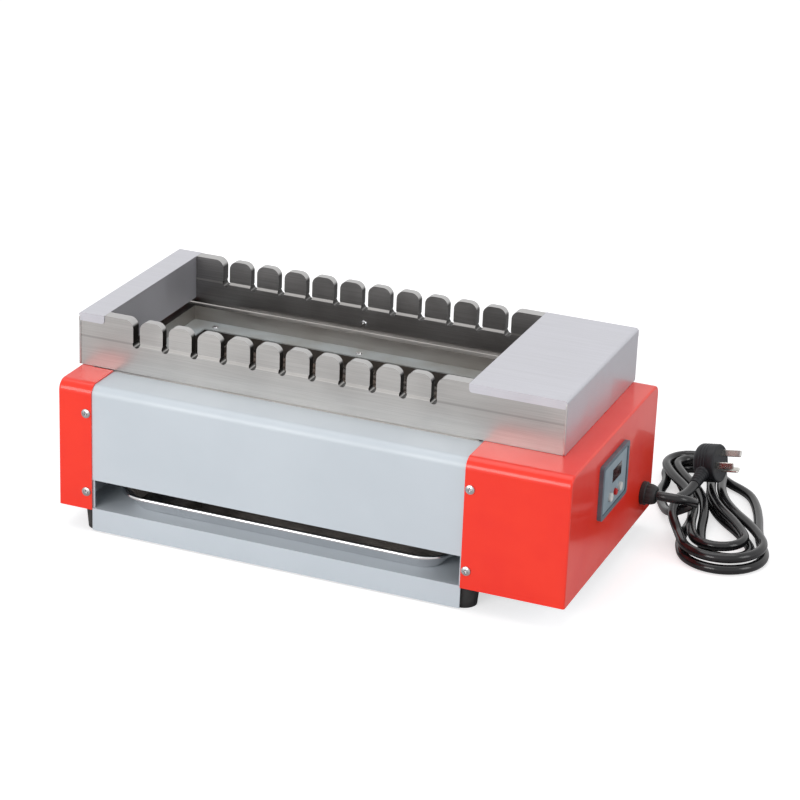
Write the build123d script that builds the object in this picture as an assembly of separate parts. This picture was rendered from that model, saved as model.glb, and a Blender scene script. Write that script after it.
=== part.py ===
from build123d import *
import math
import os

# Electric skewer grill, in millimetres, +Z up.
# While it is modelled, x runs from the outer face of the left cap, y from the front
# face of the caps and z from the table. save() moves every piece so that the origin is
# in the middle of the footprint, on the table.

os.makedirs("parts", exist_ok=True)

# ---- overall sizes -------------------------------------------------------------
body_length = 490.0         # over the outer faces of the two end caps
body_depth = 246.0
body_top = 144.0            # top of the caps above the table
under_body = 22.0           # lower edge of the caps above the table
comb_height = 51.0          # skewer frame above the cap tops
comb_overhang = 2.0         # skewer frame past the left cap
comb_inset_right = 22.3      # skewer frame short of the right cap's face
comb_front = 43.0           # front edge of the skewer frame behind the cap front
comb_inset_back = 3.0       # its back edge in front of the cap back

# ---- sheet metal and clearances -------------------------------------------------
sheet = 1.2                 # painted steel
thin_sheet = 0.8            # stainless liner and chamber
comb_sheet = 1.0            # stainless skewer frame
fit_gap = 0.1               # between sheets that are screwed together
rest_gap = 0.3              # under a piece that lifts off or slides
overcut = 5.0               # how far a cutting solid runs past a face

# ---- body ----------------------------------------------------------------------
top_bend = 10.0             # outer radius of the bends along the front and back top edges
cap_edge = 2.0              # rounding round the outer end of a cap
left_cap_width = 33.4
right_cap_width = 96.0
cap_overlap = 14.0          # caps over the ends of the panels
bay_height = 29.5           # drip tray opening under the front panel
lip_clearance = 1.5         # base lips above the table
bulkhead_flange = 16.0
vent_count = 6
vent_width = 4.0
vent_length = 40.0
vent_pitch = 10.0
vent_from_end = 16.0        # last vent slot from the right end

# ---- feet ----------------------------------------------------------------------
foot_radius = 14.0
foot_taper = 2.0
foot_recess_radius = 5.0
foot_recess_depth = 8.0
foot_inset_left = 34.0
foot_inset_right = 98.0
foot_inset_depth = 18.0

# ---- cap screws ----------------------------------------------------------------
screw_radius = 2.0
screw_head_radius = 4.3
screw_head_height = 2.2
screw_length = 5.4
screw_from_edge = 5.2       # from the inner edge of a cap
screw_heights = (39.5, 116.5)

# ---- well, hearth plate and heating chamber ---------------------------------------
well_recess = 2.0           # liner behind the inner faces of the skewer frame
liner_flange = 9.0
hearth_drop = 14.5          # hearth plate below the cap tops
hearth_ledge = 20.0         # visible ledge round the chamber opening
hearth_margin = 8.0         # hearth plate past the liner, front and back
hearth_skirt = 18.0
chamber_flange = 14.0
chamber_straight = 36.0
chamber_bottom = 58.0
chamber_taper = 16.0
ledge_screw_radius = 1.5
ledge_screw_head = 3.0
ledge_screw_height = 1.4
ledge_screw_inset = 8.0     # outside the edge of the opening
ledge_screw_count = 3

# ---- heating elements --------------------------------------------------------------
element_count = 5
element_pitch = 12.5        # from leg to leg
element_radius = 4.0
element_height = 116.0
element_end_gap = 10.0      # bends short of the left chamber wall
element_hole_gap = 0.3
element_tail = 4.0          # legs past the right bulkhead
terminal_radius = 3.6
terminal_length = 9.0
stud_radius = 1.5
stud_length = 8.0
support_inset = 22.0
support_thickness = 1.5
support_height = 16.0
probe_radius = 2.0
probe_height = 98.0
probe_reach = 28.0
probe_nut_radius = 5.0
probe_nut_length = 6.0

# ---- skewer frame ------------------------------------------------------------------
left_deck_width = 26.0
right_deck_lap = 16.0       # right deck past the inner edge of the right cap
deck_bend = 3.0
deck_flange = 8.0
rail_thickness = 11.0
slot_count = 11
first_tooth = 32.0          # left deck to the centre of the first slot
last_tooth = 32.7           # centre of the last slot to the right deck
slot_width = 6.0
slot_depth = 26.0
slot_bulb_radius = 3.6      # round bottom of a slot
tooth_corner = 8.0
tooth_recess = 1.6          # tooth faces behind the rail faces
recess_start = 2.2          # lower edge of the joggle above the slot bottom
joggle = 2.4
inner_wall_lift = 9.0       # inner walls end above the cap tops

# ---- drip tray --------------------------------------------------------------------
tray_end_gap = 14.8         # tray to the inner edges of the caps
tray_front = 5.0
tray_back_gap = 14.0        # tray to the back of the caps
tray_height = 17.6
tray_corner = 32.0
tray_slope = 13.0
tray_sheet = 0.8
tray_rim_radius = 2.2

# ---- control panel on the right end ----------------------------------------------------
panel_centre_y = 114.0
panel_centre_z = 99.0
bezel_width = 74.0
bezel_height = 52.0
bezel_proud = 4.0
bezel_corner = 4.0
bezel_rim = 4.0             # raised border of the bezel
bezel_rim_height = 1.2
collar_inset = 3.0
collar_wall = 1.6
collar_depth = 8.0
window_width = 24.0
window_height = 12.0
window_offset_y = 6.0
window_offset_z = 6.0
window_thickness = 1.0
button_offset_z = -11.5
button_pitch = 13.5
button_centre_y = 2.5       # middle button from the panel centre
button_radius = 4.0
middle_button_radius = 3.0
button_proud = 1.2
button_gap = 0.25
button_flange = 1.2
button_flange_thickness = 1.0
housing_depth = 34.0
board_thickness = 1.6

# ---- parts inside the right cap ----------------------------------------------------------
relay_size = (24.0, 46.0, 58.0)
relay_corner = (60.0, 40.0)      # front lower corner, y and z
terminal_block_size = (34.0, 18.0, 20.0)
terminal_block_inset = (58.0, 70.0)     # front left corner from the right end and the back
cutout_radius = 8.0
cutout_depth = 9.0
cutout_from_back = 56.0
cutout_height = 92.0

# ---- gland and cord -------------------------------------------------------------------
cord_diameter = 9.0
gland_from_back = 30.0
gland_z = 46.0
gland_thread_radius = 8.0
gland_hole_gap = 0.15
gland_flange_radius = 12.0
gland_flange_length = 5.0
gland_proud = 14.0
gland_mouth_radius = 8.0
gland_nut_radius = 11.0
gland_nut_length = 5.0
gland_inner = 9.0           # thread inside the cap
hank_from_gland = (33.0, 74.0)      # middle of the hank from the gland's mouth
hank_angle = 116.7          # direction of the long axis from +X
# Half turns of the hank in the order they are wound: place along its long axis, offset to the
# right before and after the turn, and layer.
hank_turns = ((90.0, -26.5, 26.5, 0), (-84.5, 34.0, -43.0, 0),
              (90.0, -16.0, 16.0, 0), (-76.0, 23.0, -21.0, 0),
              (90.0, -16.0, 16.0, 1), (-70.0, 18.0, -30.0, 1),
              (90.0, -26.5, 26.5, 1), (-82.0, 32.5, -42.0, 1))
# Points of the runs between them: place, offset and layer. Most are at the waist.
hank_passes = ((30.0, 48.0, 0), (15.0, -15.0, 0), (15.0, 5.0, 0), (15.0, -5.0, 1),
               (15.0, 5.0, 1), (15.0, -15.0, 1), (15.0, 15.0, 1))
hank_first = (35.0, -42.0, 0)       # start of the loose run on the left
layer_step = 9.6            # height from one layer of cord to the next
floor_gap = 0.1
sample_step = 2.5
lead_straight = 16.2        # first run of the lead's route
lead_points = ((-55.1, -32.3, 42.2), (-42.7, -23.5, 34.3), (-28.6, -27.1, 24.4),
               (-17.1, -38.5, 13.4), (0.8, -41.6, 6.9))
lead_landing = 10.3         # its last run
tail_start = 14.1           # first run of the tail's route
tail_points = ((-37.9, -44.8, 21.4), (-19.5, -37.4, 28.4))
tail_end = 13.1             # its last run, in line with the boot

# ---- plug ------------------------------------------------------------------------------
plug_radius = 18.5
plug_length = 22.0
plug_edge = 2.0
plug_back_edge = 5.5
plug_from_hank = (-3.1, 35.6)       # its face from the middle of the hank
plug_height = 41.6
plug_axis = (0.97, -0.14, 0.195)
boot_from_face = 11.5
boot_slope = 14.0           # degrees below the horizontal
boot_length = 19.0
boot_root_radius = 7.0
boot_tip_radius = 5.4
pin_width = 6.35
pin_thickness = 1.6
pin_length = 17.0
earth_pin_length = 20.0
pin_pattern_turn = 55.0     # from level to the earth blade
pin_places = ((10.3, 0.0, 0.0), (-3.96, 6.86, 30.0), (-3.96, -6.86, -30.0))

# ---- sizes that follow -----------------------------------------------------------------
panel_inset = sheet + fit_gap
pan_top = under_body + sheet
panel_bottom = under_body + bay_height
panel_left = left_cap_width - cap_overlap
panel_right = body_length - right_cap_width + cap_overlap
comb_left = -comb_overhang
comb_right = body_length - comb_inset_right
comb_back = body_depth - comb_inset_back
comb_bottom = body_top + rest_gap
comb_top = body_top + comb_height
rail_front = comb_front + comb_sheet
rail_back = comb_back - comb_sheet
well_left = comb_left + left_deck_width
well_right = body_length - right_cap_width - right_deck_lap
well_front = rail_front + rail_thickness
well_back = rail_back - rail_thickness
liner_left = well_left - well_recess
liner_right = well_right + well_recess
liner_front = well_front - well_recess
liner_back = well_back + well_recess
hearth_top = body_top - hearth_drop
chamber_left = liner_left + hearth_ledge
chamber_right = liner_right - hearth_ledge
chamber_front = liner_front + hearth_ledge
chamber_back = liner_back - hearth_ledge
chamber_top = hearth_top - sheet - fit_gap
bulkhead_left = panel_left - fit_gap - sheet
bulkhead_right = panel_right + fit_gap
compartment_left = bulkhead_right + sheet + fit_gap
element_middle = (chamber_front + chamber_back) / 2
element_right = bulkhead_right + sheet + element_tail
slot_bottom = comb_top - slot_depth
first_slot = well_left + first_tooth
last_slot = well_right - last_tooth
slot_pitch = (last_slot - first_slot) / (slot_count - 1)
tray_length = body_length - left_cap_width - right_cap_width - 2 * tray_end_gap
tray_depth = body_depth - tray_front - tray_back_gap
panel_face = body_length + bezel_proud
cap_end = body_length - sheet
gland_y = body_depth - gland_from_back
gland_mouth = body_length + gland_proud
cord_radius = cord_diameter / 2
hank_x = gland_mouth + hank_from_gland[0]
hank_y = gland_y + hank_from_gland[1]
origin_x = (panel_face + button_proud - comb_overhang) / 2
origin_y = body_depth / 2


def save(name, shape):
    """Moves a finished piece to the middle of the footprint and writes it."""
    export_step(Pos(-origin_x, -origin_y, 0) * shape, f"parts/{name}.step")


def slab(x0, x1, y0, y1, z0, z1):
    """Box between two corners."""
    middle = Pos((x0 + x1) / 2, (y0 + y1) / 2, (z0 + z1) / 2)
    return middle * Box(abs(x1 - x0), abs(y1 - y0), abs(z1 - z0))


def rod(start, end, radius):
    """Round bar from start to end."""
    line = Vector(*end) - Vector(*start)
    base = Plane(origin=start, z_dir=line)
    return extrude(base * Circle(radius), amount=line.length)


def turned(points, place):
    """Turned piece: a closed profile of radius and height pairs, spun about its height axis."""
    face = make_face(Plane.XZ * Polyline(*points, close=True))
    return place * revolve(face, axis=Axis.Z)


def group(solids):
    """Like pieces kept together as separate solids of one node."""
    return Compound(children=list(solids))


# ---- painted body ------------------------------------------------------------------------
def body_section(inset, bottom):
    """Outline of the body across its depth, with the two bent top edges."""
    width = body_depth - 2 * inset
    height = body_top - inset - bottom
    outline = Pos(body_depth / 2, bottom + height / 2) * Rectangle(width, height)
    top_corners = outline.vertices().group_by(Axis.Y)[-1]
    return fillet(top_corners, top_bend - inset)


def body_bar(x0, x1, inset, bottom):
    """The body's section run from x0 to x1."""
    return extrude(Plane.YZ.offset(x0) * body_section(inset, bottom), amount=x1 - x0)


def screw_places():
    """Centres of the cap screws: x, face y, height and the way the head points."""
    columns = (left_cap_width - screw_from_edge, body_length - right_cap_width + screw_from_edge)
    return [(x, y, z, side) for x in columns for z in screw_heights
            for y, side in ((0.0, -1), (body_depth, 1))]


def screw_holes():
    """Clearance holes for the cap screws."""
    return [rod((x, y + side * overcut, z), (x, y - side * (screw_length + overcut), z),
                screw_radius + fit_gap) for x, y, z, side in screw_places()]


def base_pan():
    """Floor of the body with a folded lip along the front and the back, and vent slots."""
    pan = slab(panel_inset, body_length - panel_inset, panel_inset, body_depth - panel_inset,
               under_body, pan_top)
    lip_ends = (left_cap_width, body_length - right_cap_width)
    for edge, way in ((panel_inset, 1), (body_depth - panel_inset, -1)):
        pan += slab(*lip_ends, edge, edge + way * sheet, lip_clearance, pan_top)
    for i in range(vent_count):
        x = body_length - vent_from_end - i * vent_pitch
        slot = Pos(x, body_depth / 2) * SlotOverall(vent_length, vent_width, rotation=90)
        pan -= Pos(0, 0, under_body - overcut) * extrude(slot, amount=2 * overcut + sheet)
    return pan


def rubber_feet():
    """Four tapered rubber feet with a screw recess."""
    height = under_body
    profile = ((0, foot_recess_depth), (foot_recess_radius, foot_recess_depth),
               (foot_recess_radius, 0), (foot_radius - foot_taper, 0),
               (foot_radius, height), (0, height))
    columns = (foot_inset_left, body_length - foot_inset_right)
    rows = (foot_inset_depth, body_depth - foot_inset_depth)
    return group(turned(profile, Pos(x, y, 0)) for x in columns for y in rows)


def panel(front):
    """Front or rear panel: one bent sheet with its top strip under the skewer frame."""
    skin = body_bar(panel_left, panel_right, panel_inset, under_body)
    skin -= body_bar(panel_left - overcut, panel_right + overcut, panel_inset + sheet,
                     under_body - overcut)
    strip = thin_sheet + fit_gap
    if front:
        keep = slab(panel_left, panel_right, 0, liner_front - strip, panel_bottom, body_top)
    else:
        keep = slab(panel_left, panel_right, liner_back + strip, body_depth,
                    pan_top + fit_gap, body_top)
    skin = skin & keep
    return skin - screw_holes()


def end_cap(x0, x1, open_right):
    """Red end cap: an end plate and a wrap over the front, top and back."""
    cap = body_bar(x0, x1, 0, under_body)
    end_face = cap.faces().sort_by(Axis.X)[0 if open_right else -1]
    rim = [edge for edge in end_face.edges() if edge.center().Z > under_body + fit_gap]
    cap = fillet(rim, cap_edge)
    if open_right:
        cap -= body_bar(x0 + sheet, x1 + overcut, sheet, under_body - overcut)
    else:
        cap -= body_bar(x0 - overcut, x1 - sheet, sheet, under_body - overcut)
    return cap - screw_holes()


def left_cap():
    """Left cap with the notch that clears the liner flange."""
    cap = end_cap(0, left_cap_width, True)
    edge = liner_left - thin_sheet - liner_flange - rest_gap
    return cap - slab(edge, left_cap_width + overcut,
                      liner_front - liner_flange - sheet, liner_back + liner_flange + sheet,
                      body_top - top_bend, body_top + overcut)


def right_cap():
    """Right cap with the openings for the control panel and the cable gland."""
    cap = end_cap(body_length - right_cap_width, body_length, False)
    collar_gap = collar_inset - rest_gap
    cap -= slab(cap_end - overcut, body_length + overcut,
                panel_centre_y - bezel_width / 2 + collar_gap,
                panel_centre_y + bezel_width / 2 - collar_gap,
                panel_centre_z - bezel_height / 2 + collar_gap,
                panel_centre_z + bezel_height / 2 - collar_gap)
    return cap - rod((cap_end - overcut, gland_y, gland_z), (body_length + overcut, gland_y, gland_z),
                     gland_thread_radius + gland_hole_gap)


def cap_screws():
    """Pan-head screws that hold the caps."""
    profile = ((0, -screw_length), (screw_radius, -screw_length), (screw_radius, 0),
               (screw_head_radius, 0), (screw_head_radius, 0.3 * screw_head_height),
               (0.75 * screw_head_radius, 0.8 * screw_head_height), (0, screw_head_height))
    return group(turned(profile, Plane(origin=(x, y, z), z_dir=(0, side, 0)).location)
                 for x, y, z, side in screw_places())


def element_legs():
    """Depth of every heating leg."""
    first = element_middle - (2 * element_count - 1) * element_pitch / 2
    return [first + i * element_pitch for i in range(2 * element_count)]


def leg_holes(x0, x1):
    """Holes for the heating legs through a wall between x0 and x1."""
    return [rod((x0, y, element_height), (x1, y, element_height), element_radius + element_hole_gap)
            for y in element_legs()]


def probe_hole(x0, x1):
    """Hole for the temperature probe."""
    return rod((x0, element_middle, probe_height), (x1, element_middle, probe_height),
               probe_radius + element_hole_gap)


def bulkhead(x0, flange_way):
    """Inner end wall between the panels, with flanges behind them for the cap screws."""
    wall = body_bar(x0, x0 + sheet, panel_inset, pan_top + fit_gap)
    flange_start = x0 if flange_way > 0 else x0 + sheet
    for front in (True, False):
        inner = panel_inset + sheet + fit_gap
        y0, y1 = inner, inner + sheet
        if not front:
            y0, y1 = body_depth - y1, body_depth - y0
        wall += slab(flange_start, flange_start + flange_way * (bulkhead_flange + sheet), y0, y1,
                     pan_top + fit_gap, body_top - 2 * top_bend)
    return wall - screw_holes()


# ---- hearth, liner and heating chamber ---------------------------------------------------
def heater_deck():
    """Painted hearth plate with the chamber opening and a skirt down each bulkhead."""
    x0 = panel_left
    x1 = panel_right
    front = liner_front - hearth_margin
    back = liner_back + hearth_margin
    deck = slab(x0, x1, front, back, hearth_top - sheet, hearth_top)
    for start, way in ((x0, 1), (x1, -1)):
        deck += slab(start, start + way * sheet, front, back, hearth_top - hearth_skirt, hearth_top)
    deck -= slab(chamber_left, chamber_right, chamber_front, chamber_back,
                 hearth_top - 2 * sheet, hearth_top + sheet)
    for y in element_legs():
        leg_bottom = element_height - element_radius - rest_gap
        deck -= slab(x1 - 2 * sheet, x1 + sheet, y - element_radius - rest_gap,
                     y + element_radius + rest_gap, leg_bottom - overcut, element_height
                     + element_radius + rest_gap)
    return deck - ledge_screw_bars(ledge_screw_radius + fit_gap)


def ledge_screw_places():
    """Centres of the screws that carry the chamber under the hearth plate."""
    span = chamber_right - chamber_left - 2 * ledge_screw_inset
    step = span / (ledge_screw_count - 1)
    rows = (chamber_front - ledge_screw_inset, chamber_back + ledge_screw_inset)
    return [(chamber_left + ledge_screw_inset + i * step, y)
            for i in range(ledge_screw_count) for y in rows]


def ledge_screw_bars(radius):
    """Holes for the ledge screws."""
    return [rod((x, y, chamber_top - overcut), (x, y, hearth_top + overcut), radius)
            for x, y in ledge_screw_places()]


def ledge_screws():
    """Small pan-head screws on the ledge."""
    length = sheet + fit_gap + thin_sheet + rest_gap
    profile = ((0, -length), (ledge_screw_radius, -length), (ledge_screw_radius, 0),
               (ledge_screw_head, 0), (0.8 * ledge_screw_head, 0.7 * ledge_screw_height),
               (0, ledge_screw_height))
    return group(turned(profile, Pos(x, y, hearth_top)) for x, y in ledge_screw_places())


def well_liner():
    """Stainless collar that stands on the hearth plate and laps over the panel strips."""
    top = body_top - panel_inset + fit_gap + thin_sheet
    bottom = hearth_top + fit_gap
    wall = slab(liner_left - thin_sheet, liner_right + thin_sheet,
                liner_front - thin_sheet, liner_back + thin_sheet, bottom, top)
    rim = liner_flange + thin_sheet
    wall += slab(liner_left - rim, liner_right + rim, liner_front - rim, liner_back + rim,
                 top - thin_sheet, top)
    return wall - slab(liner_left, liner_right, liner_front, liner_back,
                       bottom - overcut, top + overcut)


def funnel(x0, x1, y0, y1, z_top, grow):
    """Closed form of the chamber: straight above, drawn in below."""
    knee = chamber_top - chamber_straight
    upper = slab(x0 - grow, x1 + grow, y0 - grow, y1 + grow, knee, z_top)
    size = (x1 - x0 + 2 * grow, y1 - y0 + 2 * grow)
    middle = ((x0 + x1) / 2, (y0 + y1) / 2)
    mouth = Pos(*middle, knee) * Rectangle(*size)
    foot = Pos(*middle, chamber_bottom) * Rectangle(size[0] - 2 * chamber_taper,
                                                    size[1] - 2 * chamber_taper)
    return upper + loft([foot, mouth])


def heat_chamber():
    """Stainless chamber round the heating elements, open at the top and over the tray."""
    sides = (chamber_left, chamber_right, chamber_front, chamber_back)
    chamber = funnel(*sides, chamber_top, thin_sheet)
    chamber += slab(chamber_left - chamber_flange, chamber_right + chamber_flange,
                    chamber_front - chamber_flange, chamber_back + chamber_flange,
                    chamber_top - thin_sheet, chamber_top)
    chamber -= funnel(*sides, chamber_top + overcut, 0)
    chamber -= leg_holes(chamber_right - overcut, chamber_right + overcut)
    chamber -= probe_hole(chamber_right - overcut, chamber_right + overcut)
    return chamber - ledge_screw_bars(ledge_screw_radius + fit_gap)


def heating_element(index):
    """One hairpin of tubular heating element."""
    near, far = element_legs()[2 * index:2 * index + 2]
    bend = element_pitch / 2
    turn_x = chamber_left + element_end_gap + bend + element_radius
    bend_path = Edge.make_three_point_arc((turn_x, near, element_height),
                                          (turn_x - bend, near + bend, element_height),
                                          (turn_x, far, element_height))
    start = Plane(origin=(turn_x, near, element_height), z_dir=(-1, 0, 0))
    element = sweep(start * Circle(element_radius), path=bend_path)
    for y in (near, far):
        element += rod((turn_x, y, element_height), (element_right, y, element_height), element_radius)
    return element


def element_terminals():
    """Ceramic ends and studs of the heating legs."""
    profile = ((0, 0), (terminal_radius, 0), (terminal_radius, terminal_length),
               (stud_radius, terminal_length), (stud_radius, terminal_length + stud_length),
               (0, terminal_length + stud_length))
    return group(turned(profile, Plane(origin=(element_right, y, element_height),
                                       z_dir=(1, 0, 0)).location) for y in element_legs())


def element_support():
    """Upright strip across the chamber that carries the bends."""
    x0 = chamber_left + element_end_gap + support_inset
    strip = slab(x0, x0 + support_thickness, chamber_front + fit_gap, chamber_back - fit_gap,
                 element_height - support_height / 2, element_height + support_height / 2)
    return strip - leg_holes(x0 - overcut, x0 + overcut)


def temperature_probe():
    """Probe through the bulkhead and the chamber wall, with its nut."""
    tip = chamber_right - probe_reach
    probe = rod((tip, element_middle, probe_height),
                (compartment_left + probe_nut_length, element_middle, probe_height), probe_radius)
    nut_base = Plane(origin=(compartment_left, element_middle, probe_height), z_dir=(1, 0, 0))
    return probe + extrude(nut_base * RegularPolygon(probe_nut_radius, 6), amount=probe_nut_length)


# ---- parts inside the right cap -----------------------------------------------------------
def power_relay():
    """Relay block on the bulkhead, with a terminal step at each end."""
    y0, z0 = relay_corner
    depth, width, height = relay_size
    block = slab(compartment_left, compartment_left + depth, y0, y0 + width, z0, z0 + height)
    step = height / 5
    for low in (z0, z0 + height - step):
        block -= slab(compartment_left + 0.6 * depth, compartment_left + depth + overcut,
                      y0 - overcut, y0 + width + overcut,
                      low - (overcut if low == z0 else 0), low + step + (0 if low == z0 else overcut))
    return block


def terminal_block():
    """Mains terminal block on the base pan."""
    x0 = body_length - terminal_block_inset[0]
    y0 = body_depth - terminal_block_inset[1]
    length, width, height = terminal_block_size
    z0 = pan_top + fit_gap
    block = slab(x0, x0 + length, y0, y0 + width, z0, z0 + height)
    step = width / 4
    for y in (y0, y0 + width - step):
        block -= slab(x0 - overcut, x0 + length + overcut, y, y + step,
                      z0 + height / 2, z0 + height + overcut)
    return block


def thermal_cutout():
    """Round over-heat cut-out on the bulkhead."""
    y, z = body_depth - cutout_from_back, cutout_height
    body = rod((compartment_left, y, z), (compartment_left + 0.6 * cutout_depth, y, z), cutout_radius)
    return body + rod((compartment_left, y, z), (compartment_left + cutout_depth, y, z),
                      0.6 * cutout_radius)


# ---- control panel ----------------------------------------------------------------------
def panel_slab(x0, x1, inset, corner):
    """Rounded block behind or in front of the right cap, centred on the control panel."""
    outline = RectangleRounded(bezel_width - 2 * inset, bezel_height - 2 * inset, corner)
    place = Plane(origin=(x0, panel_centre_y, panel_centre_z), x_dir=(0, 1, 0), z_dir=(1, 0, 0))
    return extrude(place * outline, amount=x1 - x0)


def button_table():
    """Name, centre and radius of each button."""
    z = panel_centre_z + button_offset_z
    y = panel_centre_y + button_centre_y
    return (("front_button", y - button_pitch, z, button_radius),
            ("middle_button", y, z, middle_button_radius),
            ("rear_button", y + button_pitch, z, button_radius))


def window_slab(x0, x1, grow):
    """Block the size of the display window."""
    y = panel_centre_y + window_offset_y
    z = panel_centre_z + window_offset_z
    return slab(x0, x1, y - window_width / 2 - grow, y + window_width / 2 + grow,
                z - window_height / 2 - grow, z + window_height / 2 + grow)


def control_bezel():
    """Moulded bezel: raised border, face plate with its openings, and a collar into the cap."""
    face = panel_face - bezel_rim_height
    back = body_length + fit_gap
    bezel = panel_slab(back, panel_face, 0, bezel_corner)
    bezel -= panel_slab(face, panel_face + overcut, bezel_rim, bezel_corner / 2)
    bezel += panel_slab(cap_end - collar_depth, back, collar_inset, bezel_corner / 2)
    plate_back = face - collar_wall
    bezel -= panel_slab(cap_end - collar_depth - overcut, plate_back, collar_inset + collar_wall,
                        bezel_corner / 4)
    bezel -= window_slab(plate_back - overcut, panel_face + overcut, fit_gap)
    for name, y, z, radius in button_table():
        bezel -= rod((plate_back - overcut, y, z), (panel_face + overcut, y, z), radius + button_gap)
    return bezel


def display_window():
    """Dark window set in the bezel face."""
    face = panel_face - bezel_rim_height
    return window_slab(face - collar_wall, face + rest_gap, 0)


def push_button(y, z, radius):
    """Button cap with the flange that keeps it behind the face plate."""
    plate_back = panel_face - bezel_rim_height - collar_wall
    cap = rod((plate_back - rest_gap - button_flange_thickness, y, z),
              (panel_face + button_proud, y, z), radius)
    flange = rod((plate_back - rest_gap - button_flange_thickness, y, z),
                 (plate_back - rest_gap, y, z), radius + button_flange)
    tip = cap.edges().group_by(Axis.X)[-1]
    return fillet(tip, button_gap * 2) + flange


def display_board():
    """Circuit board inside the collar, behind the buttons."""
    x1 = cap_end - collar_depth + board_thickness
    return panel_slab(x1 - board_thickness, x1, collar_inset + collar_wall + fit_gap, 1.0)


def controller_housing():
    """Closed plastic case of the controller behind the bezel."""
    x1 = cap_end - collar_depth - fit_gap
    case = panel_slab(x1 - housing_depth, x1, collar_inset + collar_wall, bezel_corner / 2)
    return chamfer(case.edges().group_by(Axis.X)[0], 1.5)


# ---- skewer frame ----------------------------------------------------------------------
def rail_outline(inset, bottom):
    """Side view of a rail: its slots with round bottoms, and the rounded teeth between them."""
    left = comb_left + comb_sheet + fit_gap + inset
    right = comb_right - comb_sheet - fit_gap - inset
    under_deck = comb_top - comb_sheet - fit_gap - inset
    top = comb_top - inset
    outline = Pos((left + right) / 2, (bottom + under_deck) / 2) * Rectangle(
        right - left, under_deck - bottom)
    outline = fillet(outline.vertices().group_by(Axis.Y)[-1], deck_bend)
    mid_left = well_left + fit_gap + inset
    mid_right = well_right - fit_gap - inset
    outline += Pos((mid_left + mid_right) / 2, (slot_bottom + top) / 2) * Rectangle(
        mid_right - mid_left, top - slot_bottom)
    half_slot = slot_width / 2 + inset
    bulb = slot_bulb_radius + inset
    bulb_height = slot_bottom + slot_bulb_radius
    for i in range(slot_count):
        x = first_slot + i * slot_pitch
        outline -= Pos(x, (bulb_height + top + overcut) / 2) * Rectangle(
            2 * half_slot, top + overcut - bulb_height)
        outline -= Pos(x, bulb_height) * Circle(bulb)
    slot_corners = [v for v in outline.vertices() if abs(v.Y - top) < fit_gap / 2
                    and first_slot - slot_pitch / 2 < v.X < last_slot + slot_pitch / 2]
    return fillet(slot_corners, tooth_corner - inset)


def rail_bar(y0, y1, inset, bottom):
    """The rail's side view run from y0 to y1."""
    return extrude(Plane.XZ.offset(-y1) * rail_outline(inset, bottom), amount=y1 - y0)


def joggle_cut(face_y, way, depth, drop):
    """Solid in front of the recessed tooth faces, with the sloped ledge below them."""
    low = slot_bottom + recess_start - drop
    side = [(face_y - way * overcut, comb_top + overcut), (face_y + way * depth, comb_top + overcut),
            (face_y + way * depth, low + joggle), (face_y, low), (face_y - way * overcut, low)]
    profile = make_face(Plane.YZ.offset(first_slot) * Polyline(*side, close=True))
    return extrude(profile, amount=last_slot - first_slot, dir=(1, 0, 0))


def comb_rail(y0, inner_way):
    """Hollow pressed rail. inner_way points from the rail to the well."""
    y1 = y0 + rail_thickness
    rail = rail_bar(y0, y1, 0, comb_bottom)
    hollow = rail_bar(y0 + comb_sheet, y1 - comb_sheet, comb_sheet, comb_bottom - overcut)
    for face, way in ((y0, 1), (y1, -1)):
        rail -= joggle_cut(face, way, tooth_recess, 0)
        hollow -= joggle_cut(face + way * comb_sheet, way, tooth_recess, comb_sheet / 2)
    rail -= hollow
    inner_face = y1 if inner_way > 0 else y0
    rail -= slab(comb_left, comb_right, inner_face - inner_way * 1.5 * comb_sheet,
                 inner_face + inner_way * overcut, comb_bottom - overcut, body_top + inner_wall_lift)
    screw_y = (inner_face - inner_way * overcut, inner_face + inner_way * overcut)
    return rail - rod((frame_screw_x(), screw_y[0], frame_screw_z()),
                      (frame_screw_x(), screw_y[1], frame_screw_z()), ledge_screw_radius + fit_gap)


def frame_screw_x():
    """The middle slot's position, where the frame screw is."""
    return (first_slot + last_slot) / 2


def frame_screw_z():
    """Height of the frame screw above the lower edge of the inner wall."""
    return body_top + inner_wall_lift + ledge_screw_head + 2 * rest_gap


def frame_screws():
    """One small screw through the inner wall of each rail."""
    length = comb_sheet + 2 * rest_gap
    profile = ((0, -length), (ledge_screw_radius, -length), (ledge_screw_radius, 0),
               (ledge_screw_head, 0), (0.8 * ledge_screw_head, 0.7 * ledge_screw_height),
               (0, ledge_screw_height))
    walls = ((well_front, 1), (well_back, -1))
    return group(turned(profile, Plane(origin=(frame_screw_x(), y, frame_screw_z()),
                                       z_dir=(0, way, 0)).location) for y, way in walls)


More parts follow.
